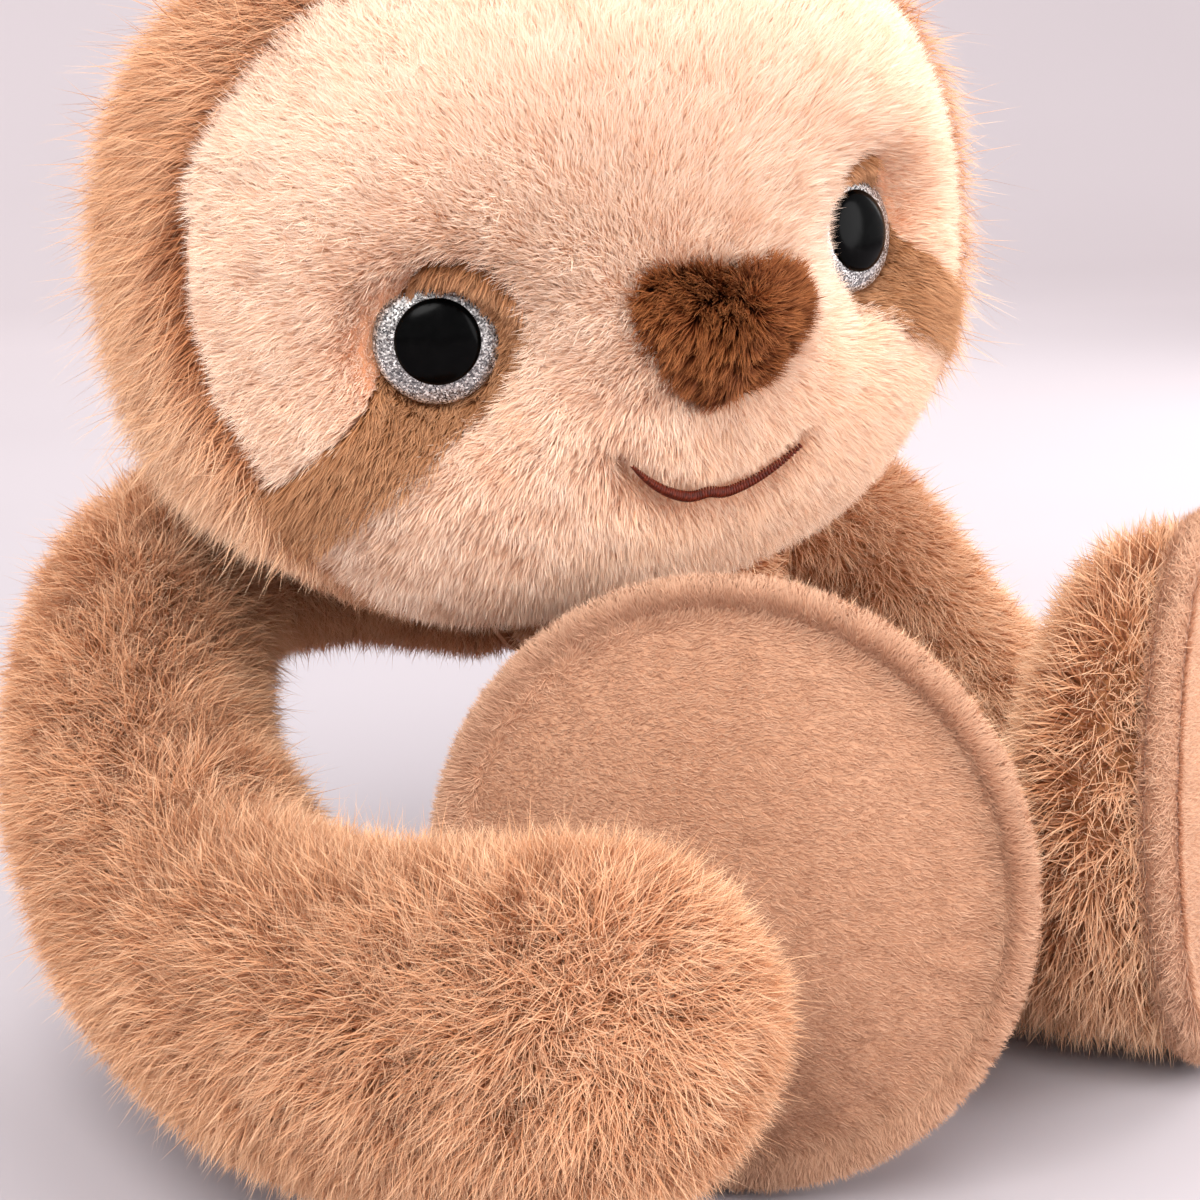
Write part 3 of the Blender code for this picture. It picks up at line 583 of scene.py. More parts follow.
def baked(carrier, name, tree, values, helpers):
    """A carrier's tree as a plain mesh of its own, with the helper attributes taken off."""
    live = carrier.modifiers.new("grown", "NODES")
    live.node_group = tree
    for item in tree.interface.items_tree:
        if item.in_out == "INPUT" and item.name in values:
            live[item.identifier] = values[item.name]
    bpy.context.view_layer.update()
    mesh = bpy.data.meshes.new_from_object(carrier.evaluated_get(bpy.context.evaluated_depsgraph_get()))
    carrier.modifiers.remove(live)
    for helper in helpers:
        if helper in mesh.attributes:
            mesh.attributes.remove(mesh.attributes[helper])
    made = bpy.data.objects.new(name, mesh)
    bpy.context.scene.collection.objects.link(made)
    print(f"{name}: {len(mesh.polygons)} faces")
    return made


def grown_pile(name, guide, finish, body, slot, seed, blades, strand=bent_blade, **sizes):
    """Pile on a guide, as a plain mesh of about so many blades, dressed as a piece of its body."""
    mesh = guide.data
    thick = np.empty(len(mesh.vertices), np.float32)
    mesh.attributes["thickness"].data.foreach_get("value", thick)
    area = 0.0
    for polygon in mesh.polygons:
        area += polygon.area * float(np.mean(thick[list(polygon.vertices)]))
    values = {"Blade": strand, "Finish": finish, "Seed": seed, "Density": blades / max(area, 1e-9)}
    values.update({key.replace("_", " ").title(): value for key, value in sizes.items()})
    pile = baked(guide, name, sewn_pile, values, ("root", "low_way", "high_way", "width_way", "side", "up",
                                                  "comb", "pile_share", "thickness", "paler"))
    return dressed(pile, finish, body, slot)


# %% [markdown]
# ## The head
#
# Three kinds of cloth meet on the head: long tan pile behind, short cream plush on the face, and a
# brown patch that runs down and outwards from each eye. The comb runs outwards from the nose on
# the face, back and down on the crown, and down and outwards on the patches.

# %% Head panels: skins and guides
ways, quads = cube_ways(96)
root_depth = 3.2 * mm
roots = head_points(ways, -root_depth)
middle = roots[quads].mean(1)
on_front = middle[:, 1] < -12 * mm
in_face = on_front & inside(face_outline, middle[:, 0], middle[:, 2])
in_left = in_face & inside(patch_outline, middle[:, 0], middle[:, 2])
in_right = in_face & inside(patch_outline, -middle[:, 0], middle[:, 2])
panel = {"face": in_face & ~in_left & ~in_right, "left": in_left, "right": in_right, "crown": ~in_face}

skin_ways, skin_quads = cube_ways(52)
head_skin = cleaned(new_mesh("head_skin", to_world(head_points(skin_ways, -3.3 * mm)), skin_quads))
dressed(head_skin, tan_skin, "head", "tan_fur", ("head_cover", "head_filling"))


cloth_lift = 0.3 * mm


def panel_skin(name, faces, surface, slot, replaced):
    """A sewn-in panel: the faces of one outline, a little proud of the head's own skin."""
    used, back = np.unique(quads[faces], return_inverse=True)
    skin = cleaned(new_mesh(name, to_world(head_points(ways[used], -root_depth + cloth_lift)),
                            back.reshape(-1, 4)))
    shell = skin.modifiers.new("cloth", "SOLIDIFY")
    shell.thickness = cloth_lift * 0.8
    shell.offset = -1.0
    dressed(skin, surface, "head", slot, replaced)


panel_skin("face_skin", panel["face"], cream_skin, "cream_plush", ("face_panel",))
for side in ("left", "right"):
    panel_skin(f"patch_skin_{side}", panel[side], patch_skin, "brown_plush", (f"eye_patch_{side}",))


def head_guide(name, faces, comb, share, thick, paler):
    used, back = np.unique(quads[faces], return_inverse=True)
    return new_mesh(name, to_world(roots[used]), back.reshape(-1, 4),
                    {"comb": comb[used] @ head_turn.T, "pile_share": share[used], "thickness": thick[used],
                     "paler": paler[used]})


x, y, z = roots.T
eye_gap = from_eye(x, z)
off_eye = np.clip((eye_gap - 7.6 * mm) / (1.0 * mm), 0, 1)
shorter_by_eye = np.clip((eye_gap - 7.5 * mm) / (7.0 * mm), 0.35, 1)
in_nose = inside(nose_outline, x, z) & (y < 0)
across, above = by_smile_line(x, z)
from_smile = np.abs(above) + np.clip(np.abs(across) - smile_reach, 0, None) * 2
by_smile = np.where(y < 0, np.clip((from_smile - 1.0 * mm) / (5.0 * mm), 0.0, 1), 1.0)
off_smile = np.where(y < 0, (from_smile > 1.3 * mm) * 1.0, 1.0)

radial = np.stack([x, np.zeros_like(x), z - 4 * mm], -1)
radial = radial / (np.linalg.norm(radial, axis=1, keepdims=True) + 2 * mm)
face_comb = radial + np.array((0.0, 0.0, 0.15)) * np.clip(z / (30 * mm), 0, 1)[:, None]
inner_side = np.clip((eye_place[0] - 2 * mm - np.abs(x + eye_shift)) / (5 * mm), 0, 1)
face_share = np.maximum(shorter_by_eye, inner_side) * (0.4 + 0.6 * by_smile)
face_thick = off_eye * ~in_nose * off_smile * inside(face_outline * 0.98, x, z)
# The face's paleness: the duller, more orange muzzle and chin are partly the cloth's own tint and partly painted
# shade; the paler forehead, the darker cheek towards +x and the paler bridge beside the eyes are painted light and
# shade.
muzzle = np.exp(-(x / (30 * mm)) ** 2 - ((z + 22 * mm) / (20 * mm)) ** 2)
bridge_painted_light = np.exp(-((np.abs(x) - 16 * mm) / (12 * mm)) ** 2 - ((z - 14 * mm) / (14 * mm)) ** 2)
face_tint_and_painted_light = (0.1 + 0.25 * np.clip(z / (30 * mm), 0, 1) - 0.2 * np.clip(x / (40 * mm), 0, 1)
             - 0.4 * muzzle + 0.3 * bridge_painted_light)
crown_comb = np.stack([x / head_halves[0] * 0.6, np.full_like(x, 0.25), np.full_like(x, -1.0)], -1)
patch_comb = np.stack([np.sign(x) * 0.75, np.zeros_like(x), np.full_like(x, -1.0)], -1)
ones = np.ones_like(x)
crown_share = 1.25 - 0.98 * np.clip((-z - 18 * mm) / (14 * mm), 0, 1) * (y < 20 * mm)
# Painted light and shade on the crown: its pile is toned darker towards the top and paler low down, under the
# face.
crown_painted_shading = np.clip(-z / (30 * mm), -1, 1.5) * 0.45
guides = {
    "face": head_guide("face_guide", panel["face"], face_comb, face_share, face_thick, face_tint_and_painted_light),
    "crown": head_guide("crown_guide", panel["crown"], crown_comb, crown_share, ones, crown_painted_shading)}
for side in ("left", "right"):
    guides[side] = head_guide(f"{side}_guide", panel[side], patch_comb, shorter_by_eye, off_eye, 0 * ones)
print("faces under each kind of pile:", {name: int(faces.sum()) for name, faces in panel.items()})

# %% Head pile
short_cream = dict(length=4.4 * mm, stand=1.2, bend=0.5, wander=0.5, clump_size=1.2 * mm,
                   clump_pull=0.32, curl=0.4 * mm, tone_patch=5 * mm, length_spread=0.2, roll=0.5, tone_spread=0.7)
for index, (seed, blades, strand, width) in enumerate(
        ((11, 66000, bent_blade, 0.2 * mm), (12, 190000, fine_blade, 0.18 * mm)), 1):
    grown_pile(f"face_pile_{index}", guides["face"], cream_pile, "head", "cream_plush", seed, blades, strand,
               **dict(short_cream, width=width))
long_tan = dict(length=8.2 * mm, width=0.18 * mm, stand=1.4, bend=0.75, wander=1.9, clump_size=1.9 * mm,
                clump_pull=0.5, curl=1.0 * mm, tone_patch=6 * mm, droop=0.12, length_spread=0.2, roll=0.6)
fine_tan = dict(long_tan, width=0.17 * mm, length=7.4 * mm, stand=1.25, clump_pull=0.4)
stray_tan = dict(long_tan, width=0.12 * mm, length=11.5 * mm, stand=1.3, bend=0.3, wander=1.6, clump_pull=0.0)
for index, (seed, blades, strand, sizes) in enumerate(
        ((21, 54000, bent_blade, dict(long_tan, stand=1.15, wander=0.9)),
         (22, 100000, fine_blade, dict(fine_tan, stand=1.1, wander=0.9)), (23, 3000, bent_blade, stray_tan)), 1):
    grown_pile(f"crown_pile_{index}", guides["crown"], tan_pile, "head", "tan_fur", seed, blades, strand,
               **sizes)
for side, seed in (("left", 31), ("right", 32)):
    grown_pile(f"patch_pile_{side}", guides[side], patch_pile, "head", "brown_plush", seed, 13000,
               length=5.5 * mm, width=0.22 * mm, stand=1.0, bend=0.4, wander=0.45, clump_size=1.8 * mm,
               clump_pull=0.4, curl=0.5 * mm, tone_patch=6 * mm)

# %% [markdown]
# ## The nose
#
# The nose is a little heart-shaped pad of dark plush with a low dome. Its guide is the outline in
# shrinking rings, each lifted by the dome. Its pile is combed to both sides of a crease, and up
# along the top edge.

# %% The nose pad
rings = 26
nose_rings = []
for share in np.linspace(1, 0.02, rings):
    ring = nose_outline * share + nose_centre * (1 - share)
    lift = 4.4 * mm * math.sqrt(max(1 - share ** 2, 0.0)) - 1.6 * mm
    front = muzzle_front(*ring.T) - lift
    nose_rings.append(np.stack([ring[:, 0], front, ring[:, 1]], -1))
nose_grid = np.concatenate(nose_rings)
nose_quads = grid_faces(rings, len(nose_outline))
nose_back = np.stack([nose_outline[:, 0], head_front(*nose_outline.T) + 3.4 * mm, nose_outline[:, 1]], -1)
count = len(nose_outline)
side_walls = [(index, (index + 1) % count, len(nose_grid) + (index + 1) % count, len(nose_grid) + index)
              for index in range(count)]
ends = [tuple(range(len(nose_grid) - count, len(nose_grid))), tuple(range(len(nose_grid), len(nose_grid) + count))]
nose_skin_piece = cleaned(new_mesh("nose_skin_pad", to_world(np.concatenate([nose_grid, nose_back])),
                                   [*nose_quads.tolist(), *side_walls, *ends]))
dressed(nose_skin_piece, nose_skin, "head", "dark_plush", ("nose_patch",))
crease_x = (nose_grid[:, 2] + 4 * mm) * 0.35
crease = np.exp(-((nose_grid[:, 0] - crease_x) / (1.2 * mm)) ** 2) * (nose_grid[:, 2] < 7.0 * mm)
to_left = np.clip((nose_grid[:, 0] - crease_x) / (3 * mm), -1, 1)
upper = np.clip((nose_grid[:, 2] - 8 * mm) / (6 * mm), 0, 1)
nose_comb = np.stack([to_left * (1 - 0.6 * upper), np.zeros(len(nose_grid)), -0.4 + 0.55 * to_left + upper], -1)
nose_guide = new_mesh("nose_guide", to_world(nose_grid), nose_quads,
                      {"comb": nose_comb @ head_turn.T, "pile_share": 1 - 0.5 * crease,
                       "thickness": np.ones(len(nose_grid))})
grown_pile("nose_pile", nose_guide, nose_pile, "head", "dark_plush", 41, 13000, length=3.8 * mm,
           width=0.2 * mm, stand=1.05, bend=0.45, wander=0.35, clump_size=1.7 * mm, clump_pull=0.85,
           curl=0.35 * mm, tone_patch=2.5 * mm)

# %% [markdown]
# ## The eyes
#
# Each eye is a clear dome over silver glitter with a glossy black pupil in its middle. The domes are
# turned from a profile. The glitter is a pattern of small cells, each with its own brightness and
# its own tilt, under a clear coat: that is what makes it sparkle from one flake to the next.

# %% Eye finishes
def glitter_build(nodes):
    place = nodes.place()
    flakes = nodes.add("ShaderNodeTexVoronoi", values={"Vector": place, "Scale": 4200.0})
    bright = nodes.add("ShaderNodeSeparateColor", values={0: flakes.output("Color")})
    tilt = nodes.add("ShaderNodeTexVoronoi", values={"Vector": place, "Scale": 2400.0})
    height = nodes.add("ShaderNodeSeparateColor", values={0: tilt.output("Color")})
    return {"Base Color": nodes.ramp(bright, (0.0, linear(58, 56, 58)), (0.45, linear(128, 125, 124)),
                                     (0.8, linear(196, 193, 190)), (1.0, linear(255, 254, 252))),
            "Roughness": bright * 0.3 + 0.18,
            "Normal": nodes.bump(0.55, 0.12 * mm, height + bright * 0.5)}


glitter = finish_material("silver_glitter_dome", glitter_build, {
    "Base Color": (0.6, 0.6, 0.6, 1), "Metallic": 0.75, "Coat Weight": 0.8, "Coat Roughness": 0.04})


def gloss_build(nodes):
    place = nodes.place()
    dust = nodes.noise(place, 700.0, 4.0)
    return {"Roughness": nodes.ramp(dust, (0.45, (0.16, 0.16, 0.16)), (0.9, (0.26, 0.26, 0.26))),
            "Base Color": nodes.ramp(dust, (0.4, (0.0006, 0.0006, 0.0006)), (1.0, (0.002, 0.002, 0.002)))}


pupil_gloss = finish_material("black_gloss_pupil", gloss_build, {
    "Base Color": (0.001, 0.001, 0.001, 1), "Roughness": 0.2, "Specular IOR Level": 0.05})

# %% Eye domes and pupils
def turned_piece(name, profile, frame_matrix, steps=96):
    """A profile of (radius, height) turned about the eye's axis and put in its place."""
    profile = np.array(profile)
    turns = np.linspace(0, 2 * math.pi, steps, endpoint=False)
    points = np.stack([np.outer(profile[:, 0], np.cos(turns)), np.outer(profile[:, 0], np.sin(turns)),
                       np.repeat(profile[:, 1:2], steps, 1)], -1).reshape(-1, 3)
    points = points @ frame_matrix[:3, :3].T + frame_matrix[:3, 3]
    return cleaned(new_mesh(name, points, grid_faces(len(profile), steps)))


def eye_frame(side):
    """The eye's place and axes in the world: it faces a little out and up."""
    seat = side * eye_place[0] - eye_shift, eye_place[1]
    spot = np.array((seat[0], muzzle_front(*seat) + eye_sink, seat[1]))
    out, up = math.radians(20.0), math.radians(16.0)
    axis = Vector((side * math.sin(out), -math.cos(out), math.tan(up))).normalized()
    turn = np.array(axis.to_track_quat("Z", "Y").to_matrix())
    placed = np.eye(4)
    placed[:3, :3] = head_turn @ turn
    placed[:3, 3] = to_world(spot[None])[0]
    return placed


dome_radius, pupil_radius, dome_bend = 9.0 * mm, 6.1 * mm, 0.93
dome = [(0.0, -0.6 * mm), (8.4 * mm, -0.6 * mm), (8.9 * mm, -0.2 * mm), (dome_radius, 0.5 * mm)]
dome += [(dome_radius * math.sqrt(1 - (share * dome_bend) ** 2), (1.2 + 2.2 * share * dome_bend) * mm)
         for share in np.linspace(0, 1, 14)[:-2]]
dome += [(6.3 * mm, 2.75 * mm), (6.15 * mm, 2.6 * mm), (pupil_radius, 1.5 * mm), (0.0, 1.5 * mm)]
button = [(0.0, 1.8 * mm), (6.05 * mm, 1.8 * mm), (pupil_radius, 2.9 * mm)]
button += [(pupil_radius * math.cos(turn), (2.95 + 1.65 * math.sin(turn)) * mm)
           for turn in np.linspace(0, math.pi / 2, 16)[:-1]]
button += [(0.0, 4.6 * mm)]
for side, name in ((1, "left"), (-1, "right")):
    placed = eye_frame(side)
    dressed(turned_piece(f"eye_dome_{name}", dome, placed), glitter, "head", "silver_glitter",
            (f"eye_{name}", f"eye_washer_{name}"))
    dressed(turned_piece(f"eye_pupil_{name}", button, placed), pupil_gloss, "head", "black_gloss",
            (f"pupil_{name}",))

# %% [markdown]
# ## The smile
#
# The mouth is satin stitch: side by side turns of a shiny thread across one curved line. Geometry
# Nodes put one short, arched stitch on every step of the line, turned across it and narrowed
# towards both ends.

# %% Satin stitches
def thread_build(nodes):
    place = nodes.place()
    ply = nodes.noise(place, 1800.0)
    return {"Base Color": nodes.ramp(ply, (0.25, linear(52, 13, 3)), (0.6, linear(98, 30, 10)),
                                     (0.9, linear(136, 56, 26))),
            "Normal": nodes.bump(0.5, 0.08 * mm, ply)}


smile_thread = finish_material("smile_thread_satin", thread_build, {
    "Base Color": (*linear(90, 28, 12), 1), "Roughness": 0.5, "Specular IOR Level": 0.25})
seam_thread = finish_material("seam_thread_tan", lambda nodes: {"Base Color": nodes.ramp(
    nodes.noise(nodes.place(), 1500.0), (0.3, linear(166, 110, 72)), (0.8, linear(206, 150, 108)))},
    {"Roughness": 0.7})

stations = np.linspace(-1, 1, 69)
line = np.stack([smile_reach * stations, -smile_sag * (1 - stations ** 2)
                 + 0.8 * mm * np.exp(-(stations * 7) ** 2)], -1)
tilt = np.array(((math.cos(smile_tilt), -math.sin(smile_tilt)), (math.sin(smile_tilt), math.cos(smile_tilt))))
line = line @ tilt.T + (0.0, -smile_drop)
along = unit(np.gradient(line, axis=0))
slant = math.radians(12)
cross_way = np.stack([-along[:, 1] + along[:, 0] * math.tan(slant),
                      along[:, 0] + along[:, 1] * math.tan(slant)], -1)
half_width = 0.85 * mm * (1 - 0.7 * np.abs(stations) ** 3)
front = muzzle_front(*line.T) - 0.2 * mm
stitch_points = to_world(np.stack([line[:, 0], front, line[:, 1]], -1))
stitch_ways = np.stack([cross_way[:, 0], np.zeros(len(line)), cross_way[:, 1]], -1) @ head_turn.T
smile_path = new_mesh("smile_path", stitch_points, [], {
    "across": unit(stitch_ways), "reach": half_width,
    "outward": np.repeat((head_turn @ np.array((0.0, -1.0, -0.15)))[None], len(line), 0)})


def arched_stitch(steps=8, sides=6):
    """One turn of thread: a round strand that arches over from one side to the other."""
    points = []
    for share in np.linspace(-1, 1, steps):
        for turn in np.linspace(0, 2 * math.pi, sides, endpoint=False):
            points.append((share, math.cos(turn), math.sin(turn)))
    return cleaned(new_mesh("stitch", points, [*grid_faces(steps, sides).tolist(), *end_caps(steps, sides)]))


def stitch_tree():
    tree = bpy.data.node_groups.new("satin_stitches", "GeometryNodeTree")
    for name, kind in (("Path", "NodeSocketGeometry"), ("Stitch", "NodeSocketObject"),
                       ("Finish", "NodeSocketMaterial"), ("Thread", "NodeSocketFloat"),
                       ("Arch", "NodeSocketFloat")):
        tree.interface.new_socket(name, in_out="INPUT", socket_type=kind)
    tree.interface.new_socket("Stitches", in_out="OUTPUT", socket_type="NodeSocketGeometry")
    net = Nodes(tree)
    take, read = net.add("NodeGroupInput").output, net.read
    points = net.store(take("Path"), "seat", net.add("GeometryNodeInputPosition"))
    source = net.add("GeometryNodeObjectInfo", values={"Object": take("Stitch")}).output("Geometry")
    source = net.store(source, "own", net.add("GeometryNodeInputPosition"))
    laid = net.add("GeometryNodeInstanceOnPoints", values={"Points": points, "Instance": source})
    laid = net.add("GeometryNodeRealizeInstances", values={"Geometry": laid})
    own = net.add("ShaderNodeSeparateXYZ", values={0: read("own")})
    share, wide, high = own, own.output("Y"), own.output("Z")
    run = net.vector("CROSS_PRODUCT", read("across"), read("outward"))
    round_off = (1 - share * share * 0.55).maths("SQRT")
    lift = (1 - share * share) * take("Arch") + high * take("Thread") * round_off
    place = net.vector("ADD", read("seat"), net.scaled(read("across"), share * read("reach", "FLOAT")))
    place = net.vector("ADD", place, net.scaled(run, wide * take("Thread") * round_off))
    place = net.vector("ADD", place, net.scaled(read("outward"), lift))
    laid = net.add("GeometryNodeSetPosition", values={"Geometry": laid, "Position": place})
    laid = net.add("GeometryNodeSetMaterial", values={"Geometry": laid, "Material": take("Finish")})
    net.add("NodeGroupOutput", values={0: laid})
    return tree


def grown_stitches(name, path, stitch, finish, thread, arch):
    values = {"Stitch": stitch, "Finish": finish, "Thread": thread, "Arch": arch}
    return cleaned(baked(path, name, stitch_tree(), values, ("seat", "own", "across", "reach", "outward")))


stitch = arched_stitch()
dressed(grown_stitches("smile_stitches", smile_path, stitch, smile_thread, 0.27 * mm, 0.5 * mm),
        smile_thread, "head", "smile_thread", ("mouth_embroidery",))
for unused in (stitch, smile_path):
    bpy.data.objects.remove(unused)

# %% [markdown]
# ## Arms, legs and body
#
# A limb is a round section carried along a smooth line. The frames of the sections are turned as
# little as possible from one to the next, so the tube doesn't twist. The same grid of points gives
# the skin, a closed padded form, and the guide for its pile.

# %% Swept forms
def swept(centres, facings, radii, sides=72):
    """A grid of round sections, each square to the way it faces."""
    facings = unit(facings)
    side = np.cross(facings[0], (0.0, 0.3, 1.0))
    grid = []
    turns = np.linspace(0, 2 * math.pi, sides, endpoint=False)[:, None]
    for centre, facing, radius in zip(centres, facings, radii):
        side = unit(side - facing * np.dot(side, facing))
        up = np.cross(side, facing)
        grid.append(centre + radius * (np.cos(turns) * side + np.sin(turns) * up))
    return np.array(grid)


def round_ends(centres, radii, steps=14):
    """Adds a half ball to each end of a run of sections."""
    first = unit(centres[0] - centres[1])
    last = unit(centres[-1] - centres[-2])
    turns = np.linspace(0.03, math.pi / 2, steps, endpoint=False)
    root = [centres[0] + first * radii[0] * math.cos(turn) for turn in turns]
    tip = [centres[-1] + last * radii[-1] * math.cos(turn) for turn in turns[::-1]]
    return (np.array([*root, *centres, *tip]),
            np.array([*(radii[0] * np.sin(turns)), *radii, *(radii[-1] * np.sin(turns[::-1]))]))


floor_gap = 0.5 * mm


def swept_pieces(name, grid, comb, body, replaced, thick=None, share=None, painted_light=0.0):
    """Makes a grid's closed padded skin, and returns the guide for its pile."""
    rows, sides = grid.shape[:2]
    flat = grid.reshape(-1, 3)
    quads = grid_faces(rows, sides)
    skin = cleaned(new_mesh(f"{name}_skin", flat, [*quads.tolist(), *end_caps(rows, sides)]), floor_gap)
    dressed(skin, tan_skin, body, "tan_fur", replaced)
    flat = flat.copy()
    flat[:, 2] = np.maximum(flat[:, 2], floor_gap)
    ones = np.ones(len(flat))
    return cleaned(new_mesh(f"{name}_guide", flat, quads, {
        "comb": comb, "pile_share": ones if share is None else share,
        "thickness": ones if thick is None else thick, "paler": ones * painted_light}))


def places_of(name):
    return np.array(next(joint["pos_m"] for joint in frame["joints"] if joint["name"] == name))


arm_length, arm_root, arm_wide, paw_wide = 200 * mm, 15 * mm, 20 * mm, 24 * mm
girth_shares = np.array((0.0, 0.3, 0.6, 0.8, 0.85, 0.95, 1.0, 1.0))
arm_girths = np.where(girth_shares < 0.85, arm_root + (arm_wide - arm_root) * girth_shares / 0.85,
                      arm_wide + (paw_wide - arm_wide) * (girth_shares - 0.85) / 0.15)
arm_runs = {
    "right": ((0.0, 0.0, 0.0), (-0.120, 0.045, 0.022), (-0.2675, -0.008, 0.010),
              (-0.3375, -0.159, -0.087), (-0.335, -0.309, -0.175), (-0.2925, -0.479, -0.196),
              (-0.2275, -0.632, -0.179), (-0.1575, -0.731, -0.153)),
    "left": ((0.0, 0.0, 0.0), (0.095, 0.033, -0.045), (0.181, 0.041, -0.160), (0.266, 0.026, -0.253),
             (0.351, -0.014, -0.294), (0.431, -0.074, -0.289), (0.496, -0.154, -0.281),
             (0.531, -0.219, -0.281))}
limb_root_depth = 3.0 * mm


def arm_grid(side, joint):
    line = smooth_run(np.array(arm_runs[side]) * arm_length, 14)
    girth = smooth_run(arm_girths[:, None], 14)[:, 0] - limb_root_depth
    centres, radii = round_ends(line, girth)
    grid = swept(centres + places_of(joint), np.gradient(centres, axis=0), radii)
    heading = unit(np.gradient(centres, axis=0))
    if side == "right":
        along_arm = np.linspace(0, 1, len(centres))
        outward = unit(grid - (centres + places_of(joint))[:, None])
        to_crook = unit(centres[len(centres) // 3:-len(centres) // 4].mean(0) - centres)[:, None]
        facing_crook = np.clip(np.sum(outward * to_crook, -1), 0, 1)
        swell = 4.5 * mm * np.exp(-((along_arm - 0.52) / 0.1) ** 2)[:, None] * facing_crook ** 2
        grid = grid + outward * swell[..., None]
    comb = np.repeat(heading[:, None], grid.shape[1], 1).reshape(-1, 3) * 0.55 + np.array((0.0, 0.0, -0.45))
    share = np.repeat(np.clip(np.linspace(0.6, 2.6, len(centres)), 0.7, 1.0), grid.shape[1])
    hang = (centres + places_of(joint))[:, None, 2] - grid[..., 2]
    under = np.clip(hang / radii[:, None], 0, 1).ravel()
    return grid, comb, share * (1.0 if side == "right" else 0.8) * (1 - 0.4 * under)


plantings = {
    "right": ((51, 54000, bent_blade, long_tan), (52, 54000, bent_blade, long_tan),
              (53, 160000, fine_blade, fine_tan), (56, 4000, bent_blade, stray_tan)),
    "left": ((54, 44000, bent_blade, long_tan), (55, 60000, fine_blade, fine_tan),
             (57, 2000, bent_blade, stray_tan))}
for side, joint in (("right", "arm_right_lift"), ("left", "arm_left_swing")):
    grid, comb, share = arm_grid(side, joint)
    # Painted light and shade: the near right arm's pile is toned a little darker, and the far left arm's, which
    # sits in the head's shadow, much paler.
    guide = swept_pieces(f"arm_{side}", grid, comb, f"arm_{side}", (f"arm_{side}_cover", f"arm_{side}_filling"),
                         share=share, painted_light=-0.2 if side == "right" else 0.8)
    for index, (seed, blades, strand, sizes) in enumerate(plantings[side], 1):
        grown_pile(f"arm_{side}_pile_{index}", guide, tan_pile, f"arm_{side}", "tan_fur", seed, blades,
                   strand, **sizes)
    bpy.data.objects.remove(guide)

# %% Body
belly, belly_wide, shoulder_wide = np.array((5.0, 3.0, 31.0)) * mm, 38 * mm, 23 * mm
rise_shares = np.array((0.0, 0.35, 0.7, 1.0))[:, None]
line = smooth_run(belly * (1 - rise_shares) + neck * rise_shares, 12)
girth = smooth_run(np.array((1.0, 0.93, 0.62, shoulder_wide / belly_wide))[:, None] * belly_wide, 12)[:, 0]
centres, radii = round_ends(line, girth - limb_root_depth)
grid = swept(centres, np.gradient(centres, axis=0), radii)
down = np.repeat(np.array((0.0, 0.1, -1.0))[None], grid.shape[0] * grid.shape[1], 0)
low = grid.reshape(-1, 3)[:, 2]
guide = swept_pieces("body", grid, down, "torso", ("body_cover", "body_filling", "pellet_pouch"),
                     np.clip((low - 1.0 * mm) / (3 * mm), 0, 1))
grown_pile("body_pile", guide, tan_pile, "torso", "tan_fur", 61, 26000,
           **dict(long_tan, length=6 * mm, width=0.3 * mm))
bpy.data.objects.remove(guide)

# %% Legs
leg_reach, foot_wide, leg_wide, foot_length = 32 * mm, 40 * mm, 17 * mm, 14 * mm
leg_shares = ((0.0, 0.0), (0.16, 0.16), (0.27, 0.46), (0.38, 0.74), (0.52, 0.91), (0.68, 0.985), (0.85, 1.0),
              (1.0, 1.0))
leg_ways = {"right": ((-0.27, -0.96, 0.0), (-0.60, -0.80, 0.07)),
            "left": ((0.78, -0.62, 0.0), (0.75, -0.66, 0.07))}


def leg_run(side):
    """The leg's sections about its hip, and where its sole is and faces."""
    start, facing = (unit(np.array(way)) for way in leg_ways[side])
    sole = start * leg_reach + (0.0, 0.0, foot_wide - leg_wide + 0.8 * mm)
    bend = sole - facing * foot_length
    centres, facings, radii = [], [], []
    for run, girth in smooth_run(leg_shares, 5):
        place = bend * run * (1 - run) + (bend * (1 - run) + sole * run) * run
        place[2] = sole[2] * girth
        way = start * (1 - run) + facing * run
        centres.append(place)
        facings.append(way)
        radii.append(leg_wide + (foot_wide - leg_wide) * girth - limb_root_depth)
    turns = np.linspace(0.05, math.pi / 2, 8, endpoint=False)
    root = [-start * radii[0] * math.cos(turn) for turn in turns]
    return (np.array([*root, *centres]), np.array([*[start] * len(turns), *facings]),
            np.array([*(radii[0] * np.sin(turns)), *radii]), sole, facing)


sole_places = {}
for side, joint, seed in (("right", "leg_right_splay", 71), ("left", "leg_left_splay", 72)):
    centres, facings, radii, sole, facing = leg_run(side)
    hip = places_of(joint)
    sole_places[side] = (hip + sole, facing)
    grid = swept(centres + hip, facings, radii)
    comb = np.repeat(unit(facings)[:, None], grid.shape[1], 1).reshape(-1, 3) * 0.8 + np.array((0, 0, -0.3))
    guide = swept_pieces(f"leg_{side}", grid, comb, f"leg_{side}",
                         (f"leg_{side}_cover", f"leg_{side}_filling"))
    grown_pile(f"leg_{side}_pile", guide, tan_pile, f"leg_{side}", "tan_fur", seed, 26000,
               **dict(long_tan, length=8.5 * mm, width=0.28 * mm))
    bpy.data.objects.remove(guide)
